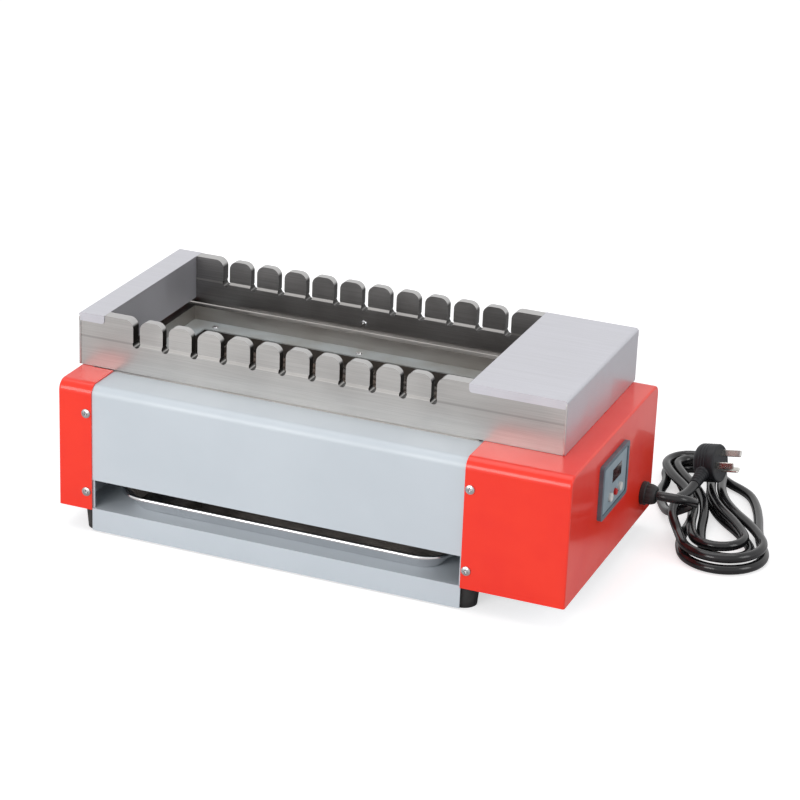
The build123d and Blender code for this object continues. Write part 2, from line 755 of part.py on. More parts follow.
def deck(x0, x1, outer_left):
    """End deck of the skewer frame: outer wall, top plate and inner wall in one bent sheet."""
    def channel(inset):
        left, right = x0 + inset, x1 - inset
        bottom = comb_bottom - (overcut if inset else 0)
        top = comb_top - inset
        shape = Pos((left + right) / 2, (bottom + top) / 2) * Rectangle(right - left, top - bottom)
        corners = shape.vertices().group_by(Axis.Y)[-1].sort_by(Axis.X)
        return fillet(corners[0 if outer_left else -1], deck_bend - inset)

    span = rail_back - rail_front
    body = extrude(Plane.XZ.offset(-rail_back) * channel(0), amount=span)
    body -= extrude(Plane.XZ.offset(-rail_back - overcut) * channel(comb_sheet),
                    amount=span + 2 * overcut)
    inner = x1 if outer_left else x0
    outer_way = -1 if outer_left else 1
    wall = (inner - outer_way * overcut, inner + outer_way * 2 * comb_sheet)
    top_under = comb_top - comb_sheet
    body -= slab(*wall, rail_front - overcut, rail_back + overcut,
                 comb_bottom - overcut, body_top + inner_wall_lift)
    body -= slab(*wall, rail_front - overcut, well_front + fit_gap, comb_bottom - overcut, top_under)
    body -= slab(*wall, well_back - fit_gap, rail_back + overcut, comb_bottom - overcut, top_under)
    for face, way in ((comb_front, 1), (comb_back, -1)):
        flange = slab(x0, x1, face, face + way * comb_sheet, comb_top - deck_flange, comb_top)
        upright = flange.edges().filter_by(Axis.Y).sort_by(Axis.X)
        low_inner = sorted(flange.edges().filter_by(Axis.Y),
                           key=lambda e: (e.center().Z, outer_way * e.center().X))[0]
        high_outer = sorted(upright, key=lambda e: (-e.center().Z, -outer_way * e.center().X))[0]
        flange = fillet([low_inner, high_outer], deck_bend)
        body += flange
    return body


# ---- drip tray --------------------------------------------------------------------------
def tray_form(z0, inset):
    """Closed form of the tray between its sloped walls."""
    top_inset = inset + tray_rim_radius
    rise = tray_height - tray_rim_radius
    middle = Pos(tray_middle(), tray_front + tray_depth / 2, 0)
    floor = RectangleRounded(tray_length - 2 * (top_inset + tray_slope),
                             tray_depth - 2 * (top_inset + tray_slope), tray_corner - tray_slope)
    mouth = RectangleRounded(tray_length - 2 * top_inset, tray_depth - 2 * top_inset,
                             tray_corner - inset)
    top = pan_top + rest_gap + rise
    return loft([middle * Pos(0, 0, z0) * floor, middle * Pos(0, 0, top) * mouth])


def tray_middle():
    """Middle of the tray bay."""
    return (panel_left + panel_right) / 2


def drip_tray():
    """Shallow stainless tray with rounded corners and a rolled rim."""
    floor_z = pan_top + rest_gap
    tray = tray_form(floor_z, 0)
    inside = tray_form(floor_z + tray_sheet, tray_sheet)
    rim_z = floor_z + tray_height - tray_rim_radius
    half = (tray_length / 2 - tray_rim_radius, tray_depth / 2 - tray_rim_radius)
    middle = (tray_middle(), tray_front + tray_depth / 2)
    path = Pos(*middle, rim_z) * RectangleRounded(2 * half[0], 2 * half[1], tray_corner).wire()
    start = Plane(origin=path.position_at(0), z_dir=path.tangent_at(0))
    rim = sweep(start * Circle(tray_rim_radius), path=path)
    return (tray - inside) + rim


# ---- cord ---------------------------------------------------------------------------------
def on_hank(t, v, z):
    """Point of the hank: t along its long axis, v across it to the right, z above the table."""
    angle = math.radians(hank_angle)
    x = hank_x + t * math.cos(angle) + v * math.sin(angle)
    y = hank_y + t * math.sin(angle) - v * math.cos(angle)
    return (x, y, z)


def s_bend(start, end):
    """Two equal arcs that leave start and reach end along the hank's long axis."""
    (t0, v0, z0), (t1, v1, z1) = start, end
    half = (t1 - t0) / 2
    offset = math.hypot(v1 - v0, z1 - z0) / 2
    turn = 2 * math.atan2(offset, abs(half))
    radius = abs(half) / math.sin(turn)
    along = math.copysign(radius * math.sin(turn / 2), half)
    share = radius * (1 - math.cos(turn / 2)) / (2 * offset)
    dv, dz = share * (v1 - v0), share * (z1 - z0)
    middle = on_hank(t0 + half, (v0 + v1) / 2, (z0 + z1) / 2)
    return [ThreePointArc(on_hank(*start), on_hank(t0 + along, v0 + dv, z0 + dz), middle),
            ThreePointArc(middle, on_hank(t1 - along, v1 - dv, z1 - dz), on_hank(*end))]


def half_turn(start, end):
    """Half turn at one end of the hank."""
    (t, v0, z), v1 = start, end[1]
    apex = on_hank(t + math.copysign(abs(v1 - v0) / 2, t), (v0 + v1) / 2, z)
    return ThreePointArc(on_hank(*start), apex, on_hank(*end))


def layer_height(layer):
    """Height of the cord's centre in a layer."""
    return cord_radius + floor_gap + layer * layer_step


def hank_stations():
    """Ends of the half turns and points of the runs: place, offset and height, in order."""
    stations = [(*hank_first[:2], layer_height(hank_first[2]))]
    for i, (t, before, after, layer) in enumerate(hank_turns):
        z = layer_height(layer)
        stations += [(t, before, z), (t, after, z)]
        if i < len(hank_passes):
            t_pass, v_pass, pass_layer = hank_passes[i]
            stations.append((t_pass, v_pass, layer_height(pass_layer)))
    return stations


def hank_edges():
    """Edges of the hank, with one straight diameter of cord at each end."""
    stations = hank_stations()
    first, last = stations[0], stations[-1]
    edges = [Line(on_hank(first[0] - cord_diameter, *first[1:]), on_hank(*first))]
    for start, end in zip(stations, stations[1:]):
        edges += [half_turn(start, end)] if start[0] == end[0] else s_bend(start, end)
    return edges + [Line(on_hank(*last), on_hank(last[0] + cord_diameter, *last[1:]))]


def octagon(origin, direction):
    """Eight-sided section of the cord, with a flat underneath."""
    place = Plane(origin=origin, z_dir=direction)
    return place * RegularPolygon(cord_radius, 8, rotation=22.5)


def swept_cord(path):
    """Cord swept along a path of tangent edges."""
    return sweep(octagon(path.position_at(0), path.tangent_at(0)), path=path)


def route_path(name, points):
    """Path of a free stretch, with arcs as large as its runs allow. Prints its radii."""
    radii = []
    for before, corner, after in zip(points, points[1:], points[2:]):
        run_in = Vector(*corner) - Vector(*before)
        run_out = Vector(*after) - Vector(*corner)
        half_turn = math.radians(run_in.get_angle(run_out)) / 2
        radii.append(0.45 * min(run_in.length, run_out.length) / math.tan(half_turn))
    print(name, "arc radii", [round(radius, 1) for radius in radii])
    return Wire(FilletPolyline(*points, radius=radii).edges())


def lead_route():
    """Route of the lead: out of the gland, round and down to the loose run on the left."""
    t, v, z = hank_stations()[0]
    end = t - cord_diameter
    return [(gland_mouth, gland_y, gland_z), (gland_mouth + lead_straight, gland_y, gland_z),
            *(on_hank(*point) for point in lead_points),
            on_hank(end - lead_landing, v, z), on_hank(end, v, z)]


def plug_frame():
    """Plane on the plug's face: z along the pins, x level and away from the front."""
    axis = Vector(*plug_axis).normalized()
    level = Vector(-axis.Y, axis.X, 0).normalized()
    face = (hank_x + plug_from_hank[0], hank_y + plug_from_hank[1], plug_height)
    return Plane(origin=face, x_dir=level, z_dir=axis)


def boot_ends():
    """Root and tip of the plug's side boot."""
    frame = plug_frame()
    slope = math.radians(boot_slope)
    away = frame.x_dir * -math.cos(slope) - frame.y_dir * math.sin(slope)
    root = frame.origin - frame.z_dir * boot_from_face
    return root, root + away * (plug_radius + boot_length)


def tail_route():
    """Route of the tail: off the top of the hank and up to the plug's boot."""
    root, tip = boot_ends()
    before = tip + (tip - root).normalized() * tail_end
    t, v, z = hank_stations()[-1]
    start = t + cord_diameter
    return [on_hank(start, v, z), on_hank(start + tail_start, v, z),
            *(on_hank(*point) for point in tail_points), tuple(before), tuple(tip)]


def least_gap(edges):
    """Least clear distance between stretches of cord that aren't neighbours along it."""
    points, travelled, lengths = [], 0.0, []
    for edge in edges:
        count = max(2, round(edge.length / sample_step))
        for i in range(count):
            points.append(tuple(edge.position_at(i / count)))
            lengths.append(travelled + edge.length * i / count)
        travelled += edge.length
    apart = 3 * cord_diameter
    near = [math.dist(points[i], points[j]) for i in range(len(points))
            for j in range(i + 1, len(points)) if lengths[j] - lengths[i] > apart]
    return min(near) - cord_diameter


def report_tube(name, solid, length):
    """Prints a tube's volume beside its section times its length."""
    section = octagon((0, 0, 0), (0, 0, 1)).area
    print(name, "length", round(length, 1), "volume ratio", round(solid.volume / (section * length), 4))


# ---- gland and plug --------------------------------------------------------------------
def cable_gland():
    """Gland: thread through the cap, flange, and a domed nut with a flat mouth."""
    nose = gland_proud - gland_flange_length
    profile = ((0, -sheet - gland_inner), (gland_thread_radius, -sheet - gland_inner),
               (gland_thread_radius, 0), (gland_flange_radius, 0),
               (gland_flange_radius, gland_flange_length),
               (gland_flange_radius - 1, gland_flange_length + 0.5 * nose),
               (gland_mouth_radius, gland_proud), (0, gland_proud))
    return turned(profile, Plane(origin=(body_length, gland_y, gland_z), z_dir=(1, 0, 0)).location)


def gland_nut():
    """Hexagon lock nut on the gland's thread inside the cap."""
    x1 = cap_end - fit_gap
    base = Plane(origin=(x1 - gland_nut_length, gland_y, gland_z), z_dir=(1, 0, 0))
    ring = RegularPolygon(gland_nut_radius, 6) - Circle(gland_thread_radius + gland_hole_gap)
    return extrude(base * ring, amount=gland_nut_length)


def plug_body():
    """Round moulded plug with the boot on its side."""
    frame = plug_frame()
    body = extrude(frame * Circle(plug_radius), amount=-plug_length)
    rims = body.edges().filter_by(GeomType.CIRCLE).sort_by(lambda rim: rim.center().X)
    body = fillet(rims[0], plug_back_edge)
    front = body.edges().filter_by(GeomType.CIRCLE).sort_by(lambda rim: rim.center().X)[-1]
    body = fillet(front, plug_edge)
    root, tip = boot_ends()
    way = (tip - root).normalized()
    base = root + way * (0.6 * plug_radius)
    boot = loft([Plane(origin=base, z_dir=way) * Circle(boot_root_radius),
                 Plane(origin=tip, z_dir=way) * Circle(boot_tip_radius)])
    return body + boot


def plug_pins():
    """Three flat blades, two of them slanted."""
    frame = plug_frame()
    blades = []
    for level, up, turn in pin_places:
        length = earth_pin_length if turn == 0 else pin_length
        place = Rot(0, 0, pin_pattern_turn) * Pos(level, up) * Rot(0, 0, turn)
        blade = place * Rectangle(pin_width, pin_thickness)
        blades.append(extrude(frame * blade, amount=length))
    return group(blades)


# ---- all pieces ---------------------------------------------------------------------------
save("base_pan", base_pan())
save("rubber_feet", rubber_feet())
save("front_panel", panel(True))
save("rear_panel", panel(False))
save("left_cap", left_cap())
save("right_cap", right_cap())
save("cap_screws", cap_screws())
save("left_bulkhead", bulkhead(bulkhead_left, 1))
right_wall = bulkhead(bulkhead_right, -1)
right_wall -= leg_holes(bulkhead_right - overcut, bulkhead_right + overcut)
right_wall -= probe_hole(bulkhead_right - overcut, bulkhead_right + overcut)
save("right_bulkhead", right_wall)
save("heater_deck", heater_deck())
save("ledge_screws", ledge_screws())
save("well_liner", well_liner())
save("heat_chamber", heat_chamber())
for number in range(element_count):
    save(f"heating_element_{number + 1}", heating_element(number))
save("element_terminals", element_terminals())
save("element_support", element_support())
save("temperature_probe", temperature_probe())
save("power_relay", power_relay())
save("terminal_block", terminal_block())
save("thermal_cutout", thermal_cutout())
save("control_bezel", control_bezel())
save("display_window", display_window())
for label, centre_y, centre_z, button_size in button_table():
    save(label, push_button(centre_y, centre_z, button_size))
save("display_board", display_board())
save("controller_housing", controller_housing())
save("front_comb_rail", comb_rail(rail_front, 1))
save("rear_comb_rail", comb_rail(rail_back - rail_thickness, -1))
save("left_deck", deck(comb_left, well_left, True))
save("right_deck", deck(well_right, comb_right, False))
save("frame_screws", frame_screws())
save("drip_tray", drip_tray())
save("cable_gland", cable_gland())
save("gland_nut", gland_nut())
save("plug_body", plug_body())
save("plug_pins", plug_pins())

lead_path = route_path("lead", lead_route())
tail_path = route_path("tail", tail_route())
hank = hank_edges()
hank_path = Wire(hank)
for label, path in (("cord_lead", lead_path), ("cord_hank", hank_path), ("cord_tail", tail_path)):
    tube = swept_cord(path)
    report_tube(label, tube, path.length)
    save(label, tube)
whole = list(lead_path.edges()) + hank + list(tail_path.edges())
print("cord length", round(sum(edge.length for edge in whole), 1), "least gap", round(least_gap(whole), 2))
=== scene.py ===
import math

import bmesh
import bpy
from mathutils import Matrix, Vector


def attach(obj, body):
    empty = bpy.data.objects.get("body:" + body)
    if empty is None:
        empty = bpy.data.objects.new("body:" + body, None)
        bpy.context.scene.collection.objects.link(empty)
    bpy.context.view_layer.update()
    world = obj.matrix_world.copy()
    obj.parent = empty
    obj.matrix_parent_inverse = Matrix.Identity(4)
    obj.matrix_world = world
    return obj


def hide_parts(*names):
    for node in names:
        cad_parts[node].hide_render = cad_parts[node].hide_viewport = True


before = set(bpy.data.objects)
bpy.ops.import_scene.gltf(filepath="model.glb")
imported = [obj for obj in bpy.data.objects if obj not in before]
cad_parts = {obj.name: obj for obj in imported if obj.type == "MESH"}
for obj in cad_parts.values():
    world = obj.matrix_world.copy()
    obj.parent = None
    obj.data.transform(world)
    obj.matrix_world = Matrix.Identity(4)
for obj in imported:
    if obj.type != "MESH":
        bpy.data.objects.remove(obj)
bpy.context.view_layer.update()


# ---- studio ------------------------------------------------------------------------------
# The grill stands on a plain white sweep under three soft boxes, above, in front and at its right.
# The camera looks down on its front right corner with a long lens.
MM = 0.001
CAMERA_PLACE = (863.5 * MM, -2105.3 * MM, 1049.8 * MM)
CAMERA_YAW = math.radians(21.4435)
CAMERA_PITCH = math.radians(22.0665)
CAMERA_ROLL = math.radians(2.2744)
CAMERA_LENS = 121.166
SWEEP_SIZE = 12.0
SWEEP_WHITE = (0.64, 0.64, 0.65, 1.0)
SWEEP_GLOW = 0.60
ROOM_LIGHT = 0.50
PAPER_ROUGHNESS = 0.9
LAMP_WHITE = (1.0, 1.0, 1.0)
LAMP_WARM = (1.0, 0.99, 0.98)


def camera_matrix():
    """The camera's place and turn: right, up and back as columns."""
    forward = Vector((-math.sin(CAMERA_YAW) * math.cos(CAMERA_PITCH),
                      math.cos(CAMERA_YAW) * math.cos(CAMERA_PITCH), -math.sin(CAMERA_PITCH)))
    level = Vector((math.cos(CAMERA_YAW), math.sin(CAMERA_YAW), 0))
    upright = level.cross(forward)
    right = level * math.cos(CAMERA_ROLL) + upright * math.sin(CAMERA_ROLL)
    up = upright * math.cos(CAMERA_ROLL) - level * math.sin(CAMERA_ROLL)
    turn = Matrix((right, up, -forward)).transposed().to_4x4()
    return Matrix.Translation(CAMERA_PLACE) @ turn


camera = bpy.data.objects.new("camera", bpy.data.cameras.new("camera"))
bpy.context.scene.collection.objects.link(camera)
camera.data.lens = CAMERA_LENS
camera.data.sensor_width = 36.0
camera.data.clip_end = 30.0
camera.matrix_world = camera_matrix()
bpy.context.scene.camera = camera
bpy.context.scene.view_settings.view_transform = "Standard"


def soft_box(name, place, target, width, height, power, colour):
    """A rectangular area lamp that faces a point of the object."""
    lamp = bpy.data.objects.new(name, bpy.data.lights.new(name, "AREA"))
    bpy.context.scene.collection.objects.link(lamp)
    lamp.data.shape = "RECTANGLE"
    lamp.data.size = width
    lamp.data.size_y = height
    lamp.data.energy = power
    lamp.data.color = colour
    lamp.location = place
    lamp.rotation_euler = (Vector(target) - Vector(place)).to_track_quat("-Z", "Y").to_euler()


soft_box("top_box", (-0.2, 0.3, 2.2), (0, 0, 0.1), 2.2, 1.4, 15, LAMP_WHITE)
soft_box("front_box", (-0.7, -2.5, 0.8), (0, 0, 0.1), 1.8, 1.2, 38, LAMP_WARM)
soft_box("side_box", (2.3, -0.3, 1.1), (0.1, 0, 0.1), 0.9, 1.3, 12, LAMP_WHITE)

world = bpy.data.worlds.new("room")
bpy.context.scene.world = world
world.use_nodes = True
room = world.node_tree
room.nodes.clear()
path = room.nodes.new("ShaderNodeLightPath")
seen = room.nodes.new("ShaderNodeMath")
seen.operation = "MAXIMUM"
room.links.new(path.outputs["Is Camera Ray"], seen.inputs[0])
room.links.new(path.outputs["Is Transmission Ray"], seen.inputs[1])
mirrored = room.nodes.new("ShaderNodeMath")
mirrored.operation = "MAXIMUM"
room.links.new(seen.outputs[0], mirrored.inputs[0])
room.links.new(path.outputs["Is Glossy Ray"], mirrored.inputs[1])
strength = room.nodes.new("ShaderNodeMapRange")
strength.inputs["To Min"].default_value = ROOM_LIGHT
strength.inputs["To Max"].default_value = 1.0
room.links.new(mirrored.outputs[0], strength.inputs["Value"])
backdrop = room.nodes.new("ShaderNodeBackground")
backdrop.inputs["Color"].default_value = (1, 1, 1, 1)
room.links.new(strength.outputs[0], backdrop.inputs["Strength"])
room.links.new(backdrop.outputs[0], room.nodes.new("ShaderNodeOutputWorld").inputs["Surface"])

bpy.ops.object.select_all(action="DESELECT")
bpy.ops.mesh.primitive_plane_add(size=SWEEP_SIZE, location=(0, 0, 0))
sweep = bpy.context.object
sweep.name = "sweep"
sweep_paper = bpy.data.materials.new("sweep_paper")
sweep_paper.use_nodes = True
paper = sweep_paper.node_tree
paper_shader = paper.nodes["Principled BSDF"]
paper_shader.inputs["Base Color"].default_value = SWEEP_WHITE
paper_shader.inputs["Roughness"].default_value = PAPER_ROUGHNESS
paper_shader.inputs["Emission Color"].default_value = (1, 1, 1, 1)
paper_path = paper.nodes.new("ShaderNodeLightPath")
paper_glow = paper.nodes.new("ShaderNodeMath")
paper_glow.operation = "MULTIPLY"
paper_glow.inputs[1].default_value = SWEEP_GLOW
paper.links.new(paper_path.outputs["Is Camera Ray"], paper_glow.inputs[0])
paper.links.new(paper_glow.outputs[0], paper_shader.inputs["Emission Strength"])
sweep.data.materials.append(sweep_paper)


# ---- red end caps ------------------------------------------------------------------------
# Pressed steel caps in a glossy red powder coat, slightly wavy like orange peel, with faint finger
# marks. The finish of most other pieces is made in the same way, so its helpers stand here.
CAP_RED = (0.90, 0.034, 0.012, 1.0)
CAP_RED_DEEP = (0.85, 0.024, 0.010, 1.0)


def wave_group():
    """Node group: coat waviness as a height, and soft finger marks as a mask."""
    group = bpy.data.node_groups.new("coat_waves", "ShaderNodeTree")
    for name, kind in (("Place", "NodeSocketVector"), ("Fineness", "NodeSocketFloat"),
                       ("Mark Size", "NodeSocketFloat")):
        group.interface.new_socket(name=name, in_out="INPUT", socket_type=kind)
    for name in ("Height", "Marks"):
        group.interface.new_socket(name=name, in_out="OUTPUT", socket_type="NodeSocketFloat")
    given = group.nodes.new("NodeGroupInput")
    result = group.nodes.new("NodeGroupOutput")
    peel = group.nodes.new("ShaderNodeTexNoise")
    peel.inputs["Detail"].default_value = 2.0
    marks = group.nodes.new("ShaderNodeTexNoise")
    marks.inputs["Detail"].default_value = 4.0
    fade = group.nodes.new("ShaderNodeMapRange")
    fade.interpolation_type = "SMOOTHSTEP"
    fade.inputs["From Min"].default_value = 0.30
    fade.inputs["From Max"].default_value = 0.74
    group.links.new(given.outputs["Place"], peel.inputs["Vector"])
    group.links.new(given.outputs["Fineness"], peel.inputs["Scale"])
    group.links.new(given.outputs["Place"], marks.inputs["Vector"])
    group.links.new(given.outputs["Mark Size"], marks.inputs["Scale"])
    group.links.new(marks.outputs["Fac"], fade.inputs["Value"])
    group.links.new(peel.outputs["Fac"], result.inputs["Height"])
    group.links.new(fade.outputs["Result"], result.inputs["Marks"])
    return group


coat_waves = wave_group()


def new_finish(name, colour, roughness, metallic=0.0):
    """A material with its shader's plain values, and the nodes that every finish starts from."""
    material = bpy.data.materials.new(name)
    material.use_nodes = True
    tree = material.node_tree
    shader = tree.nodes["Principled BSDF"]
    shader.inputs["Base Color"].default_value = colour
    shader.inputs["Roughness"].default_value = roughness
    shader.inputs["Metallic"].default_value = metallic
    material.diffuse_color = colour
    return material, tree, shader


def placed_group(tree, group, **values):
    """A node group in a material, in object coordinates and with its own values."""
    node = tree.nodes.new("ShaderNodeGroup")
    node.node_tree = group
    coordinates = tree.nodes.new("ShaderNodeTexCoord")
    tree.links.new(coordinates.outputs["Object"], node.inputs["Place"])
    for name, value in values.items():
        node.inputs[name.replace("_", " ")].default_value = value
    return node


def tone(tree, mask, low, high, target):
    """Feeds a socket with a value or a colour that runs from low to high with the mask."""
    if isinstance(low, tuple):
        mix = tree.nodes.new("ShaderNodeMix")
        mix.data_type = "RGBA"
        mix.inputs["A"].default_value = low
        mix.inputs["B"].default_value = high
        tree.links.new(mask, mix.inputs["Factor"])
        tree.links.new(mix.outputs["Result"], target)
    else:
        spread = tree.nodes.new("ShaderNodeMapRange")
        spread.inputs["To Min"].default_value = low
        spread.inputs["To Max"].default_value = high
        tree.links.new(mask, spread.inputs["Value"])
        tree.links.new(spread.outputs["Result"], target)


def relief(tree, height, shader, strength, depth):
    """Bumps the shader's surface with a height."""
    bump = tree.nodes.new("ShaderNodeBump")
    bump.inputs["Strength"].default_value = strength
    bump.inputs["Distance"].default_value = depth
    tree.links.new(height, bump.inputs["Height"])
    tree.links.new(bump.outputs["Normal"], shader.inputs["Normal"])


def finish_nodes(material, *names):
    """Puts a material on CAD pieces."""
    for name in names:
        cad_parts[name].material_slots[0].material = material


def waved_finish(name, colours, roughness, fineness, mark_size, bump, depth, metallic=0.0, **plain):
    """A finish whose soft marks shift its colour and roughness, with a fine relief."""
    material, tree, shader = new_finish(name, colours[0], roughness[0], metallic)
    for socket, value in plain.items():
        shader.inputs[socket.replace("_", " ")].default_value = value
    waves = placed_group(tree, coat_waves, Fineness=fineness, Mark_Size=mark_size)
    tone(tree, waves.outputs["Marks"], *colours, shader.inputs["Base Color"])
    tone(tree, waves.outputs["Marks"], *roughness, shader.inputs["Roughness"])
    relief(tree, waves.outputs["Height"], shader, bump, depth * MM)
    return material


red_coat = waved_finish("red_coat", (CAP_RED, CAP_RED_DEEP), (0.29, 0.36), 420.0, 16.0, 0.05, 0.3,
                        Coat_Weight=0.45, Coat_Roughness=0.06, Specular_IOR_Level=0.28)
finish_nodes(red_coat, "left_cap", "right_cap")


# ---- grey panels -------------------------------------------------------------------------
# The folded panels, the base pan and the inner end walls are sheet steel in a satin pale grey
# powder coat with a fine even texture. The hearth plate is darker and a little browned by heat.
PANEL_GREY = (0.550, 0.602, 0.650, 1.0)
PANEL_GREY_DEEP = (0.515, 0.567, 0.615, 1.0)
HEARTH_GREY = (0.50, 0.545, 0.56, 1.0)
HEARTH_BROWNED = (0.38, 0.375, 0.35, 1.0)

grey_coat = waved_finish("grey_coat", (PANEL_GREY, PANEL_GREY_DEEP), (0.38, 0.5), 900.0, 9.0, 0.14, 0.2,
                         Coat_Weight=0.15, Coat_Roughness=0.3)
finish_nodes(grey_coat, "front_panel", "rear_panel", "base_pan", "left_bulkhead", "right_bulkhead")
hearth_coat = waved_finish("hearth_coat", (HEARTH_GREY, HEARTH_BROWNED), (0.42, 0.62), 700.0, 22.0, 0.15,
                           0.2)
finish_nodes(hearth_coat, "heater_deck")


# ---- stainless skewer frame ----------------------------------------------------------------
# Two hollow pressed rails with round-bottomed slots and two folded end decks in brushed stainless
# sheet, its grain along the frame. The rails have painted shade in the slots and in the step at the
# foot of the teeth, and a painted highlight on the tops of the teeth. The rear rail is the same steel
# painted darker as shade, and the decks are painted lighter as light from above.
GRAIN_DRAWN_OUT = (0.012, 1.0, 1.0)
STEEL_BRIGHT = (0.57, 0.56, 0.545, 1.0)
STEEL_GREY = (0.35, 0.34, 0.33, 1.0)
# The rear rail's colours are the same steel darkened, a painted shade on its inner face.
SHADED_REAR_STEEL = (0.30, 0.295, 0.295, 1.0)
SHADED_REAR_STEEL_GREY = (0.155, 0.15, 0.15, 1.0)
# The decks' colours are lighter than the rails' steel, painted light from above.
TOPLIT_DECK_BRIGHT = (0.66, 0.66, 0.71, 1.0)
TOPLIT_DECK_GREY = (0.50, 0.50, 0.535, 1.0)
# Painted shade at the foot of the teeth and in the slots, and a painted highlight on the tops of the teeth:
ROOT_SHADE = (0.36, 0.35, 0.34, 1.0)
SLOT_SHADE = (0.035, 0.033, 0.031, 1.0)
ROOT_LOW = (171.2, 171.9)
ROOT_HIGH = (173.0, 174.0)
SLOT_FLOOR = (176.0, 179.0)
RIM_PAINTED_HIGHLIGHT = (0.47, 0.465, 0.46, 1.0)
RIM_START = (180.0, 184.0)
SLOT_FLANK_NORMAL = (0.55, 0.85)
SLOT_FLOOR_NORMAL = (0.78, 0.92)
RIM_NORMAL = (0.15, 0.5)


def brushed_group():
    """Node group: brushed grain along the first axis as a value, and cloudy smudges."""
    group = bpy.data.node_groups.new("brushed_grain", "ShaderNodeTree")
    for name, kind in (("Place", "NodeSocketVector"), ("Length Scale", "NodeSocketFloat"),
                       ("Smudge Scale", "NodeSocketFloat")):
        group.interface.new_socket(name=name, in_out="INPUT", socket_type=kind)
    for name in ("Grain", "Smudge"):
        group.interface.new_socket(name=name, in_out="OUTPUT", socket_type="NodeSocketFloat")
    given = group.nodes.new("NodeGroupInput")
    result = group.nodes.new("NodeGroupOutput")
    drawn_out = group.nodes.new("ShaderNodeVectorMath")
    drawn_out.operation = "MULTIPLY"
    drawn_out.inputs[1].default_value = GRAIN_DRAWN_OUT
    lines = group.nodes.new("ShaderNodeTexNoise")
    lines.inputs["Detail"].default_value = 3.0
    lines.inputs["Roughness"].default_value = 0.7
    cloud = group.nodes.new("ShaderNodeTexNoise")
    cloud.inputs["Detail"].default_value = 4.0
    fade = group.nodes.new("ShaderNodeMapRange")
    fade.interpolation_type = "SMOOTHSTEP"
    fade.inputs["From Min"].default_value = 0.30
    fade.inputs["From Max"].default_value = 0.72
    group.links.new(given.outputs["Place"], drawn_out.inputs[0])
    group.links.new(drawn_out.outputs["Vector"], lines.inputs["Vector"])
    group.links.new(given.outputs["Length Scale"], lines.inputs["Scale"])
    group.links.new(given.outputs["Place"], cloud.inputs["Vector"])
    group.links.new(given.outputs["Smudge Scale"], cloud.inputs["Scale"])
    group.links.new(cloud.outputs["Fac"], fade.inputs["Value"])
    group.links.new(lines.outputs["Fac"], result.inputs["Grain"])
    group.links.new(fade.outputs["Result"], result.inputs["Smudge"])
    return group


brushed_grain = brushed_group()


def brushed_steel(name, bright, dull, roughness, grain_scale, smudge_scale, bump, metallic=1.0):
    """A stainless finish: grain in colour and relief, and smudges in roughness."""
    material, tree, shader = new_finish(name, bright, roughness[0], metallic)
    grain = placed_group(tree, brushed_grain, Length_Scale=grain_scale, Smudge_Scale=smudge_scale)
    tone(tree, grain.outputs["Grain"], dull, bright, shader.inputs["Base Color"])
    tone(tree, grain.outputs["Smudge"], *roughness, shader.inputs["Roughness"])
    relief(tree, grain.outputs["Grain"], shader, bump, 0.05 * MM)
    return material


def rising(tree, value, low, high, interpolation="LINEAR"):
    """A mask that rises from 0 to 1 as a value goes from low to high."""
    step = tree.nodes.new("ShaderNodeMapRange")
    step.interpolation_type = interpolation
    step.inputs["From Min"].default_value = low
    step.inputs["From Max"].default_value = high
    tree.links.new(value, step.inputs["Value"])
    return step.outputs["Result"]


def split(tree, output):
    """The three parts of the surface's place or normal, in the object's own axes."""
    coordinates = tree.nodes.new("ShaderNodeTexCoord")
    parts = tree.nodes.new("ShaderNodeSeparateXYZ")
    tree.links.new(coordinates.outputs[output], parts.inputs["Vector"])
    return parts.outputs


def height_step(tree, low, high):
    """A mask that rises between two heights above the table, in millimetres."""
    return rising(tree, split(tree, "Object")["Z"], low * MM, high * MM, "SMOOTHSTEP")


def combined(tree, operation, first, second=None):
    """One or two masks put through an operation, kept between 0 and 1."""
    node = tree.nodes.new("ShaderNodeMath")
    node.operation = operation
    node.use_clamp = True
    tree.links.new(first, node.inputs[0])
    if second:
        tree.links.new(second, node.inputs[1])
    return node.outputs["Value"]


def foot_steps(tree):
    """A mask of the step at the foot of the teeth, where shade is painted."""
    return combined(tree, "SUBTRACT", height_step(tree, *ROOT_LOW), height_step(tree, *ROOT_HIGH))


def slot_cuts(tree):
    """A mask of the cut faces of the slots, which face along the rail or straight up, where shade is painted.
    """
    normal = split(tree, "Normal")
    flank = rising(tree, combined(tree, "ABSOLUTE", normal["X"]), *SLOT_FLANK_NORMAL)
    level = rising(tree, normal["Z"], *SLOT_FLOOR_NORMAL)
    return combined(tree, "MAXIMUM", flank,
                    combined(tree, "SUBTRACT", level, height_step(tree, *SLOT_FLOOR)))


def painted_rim_highlights(tree):
    """A mask of the rounded tops of the teeth that face upwards, where a highlight is painted."""
    turned_up = rising(tree, split(tree, "Normal")["Z"], *RIM_NORMAL)
    return combined(tree, "MULTIPLY", turned_up, height_step(tree, *RIM_START))


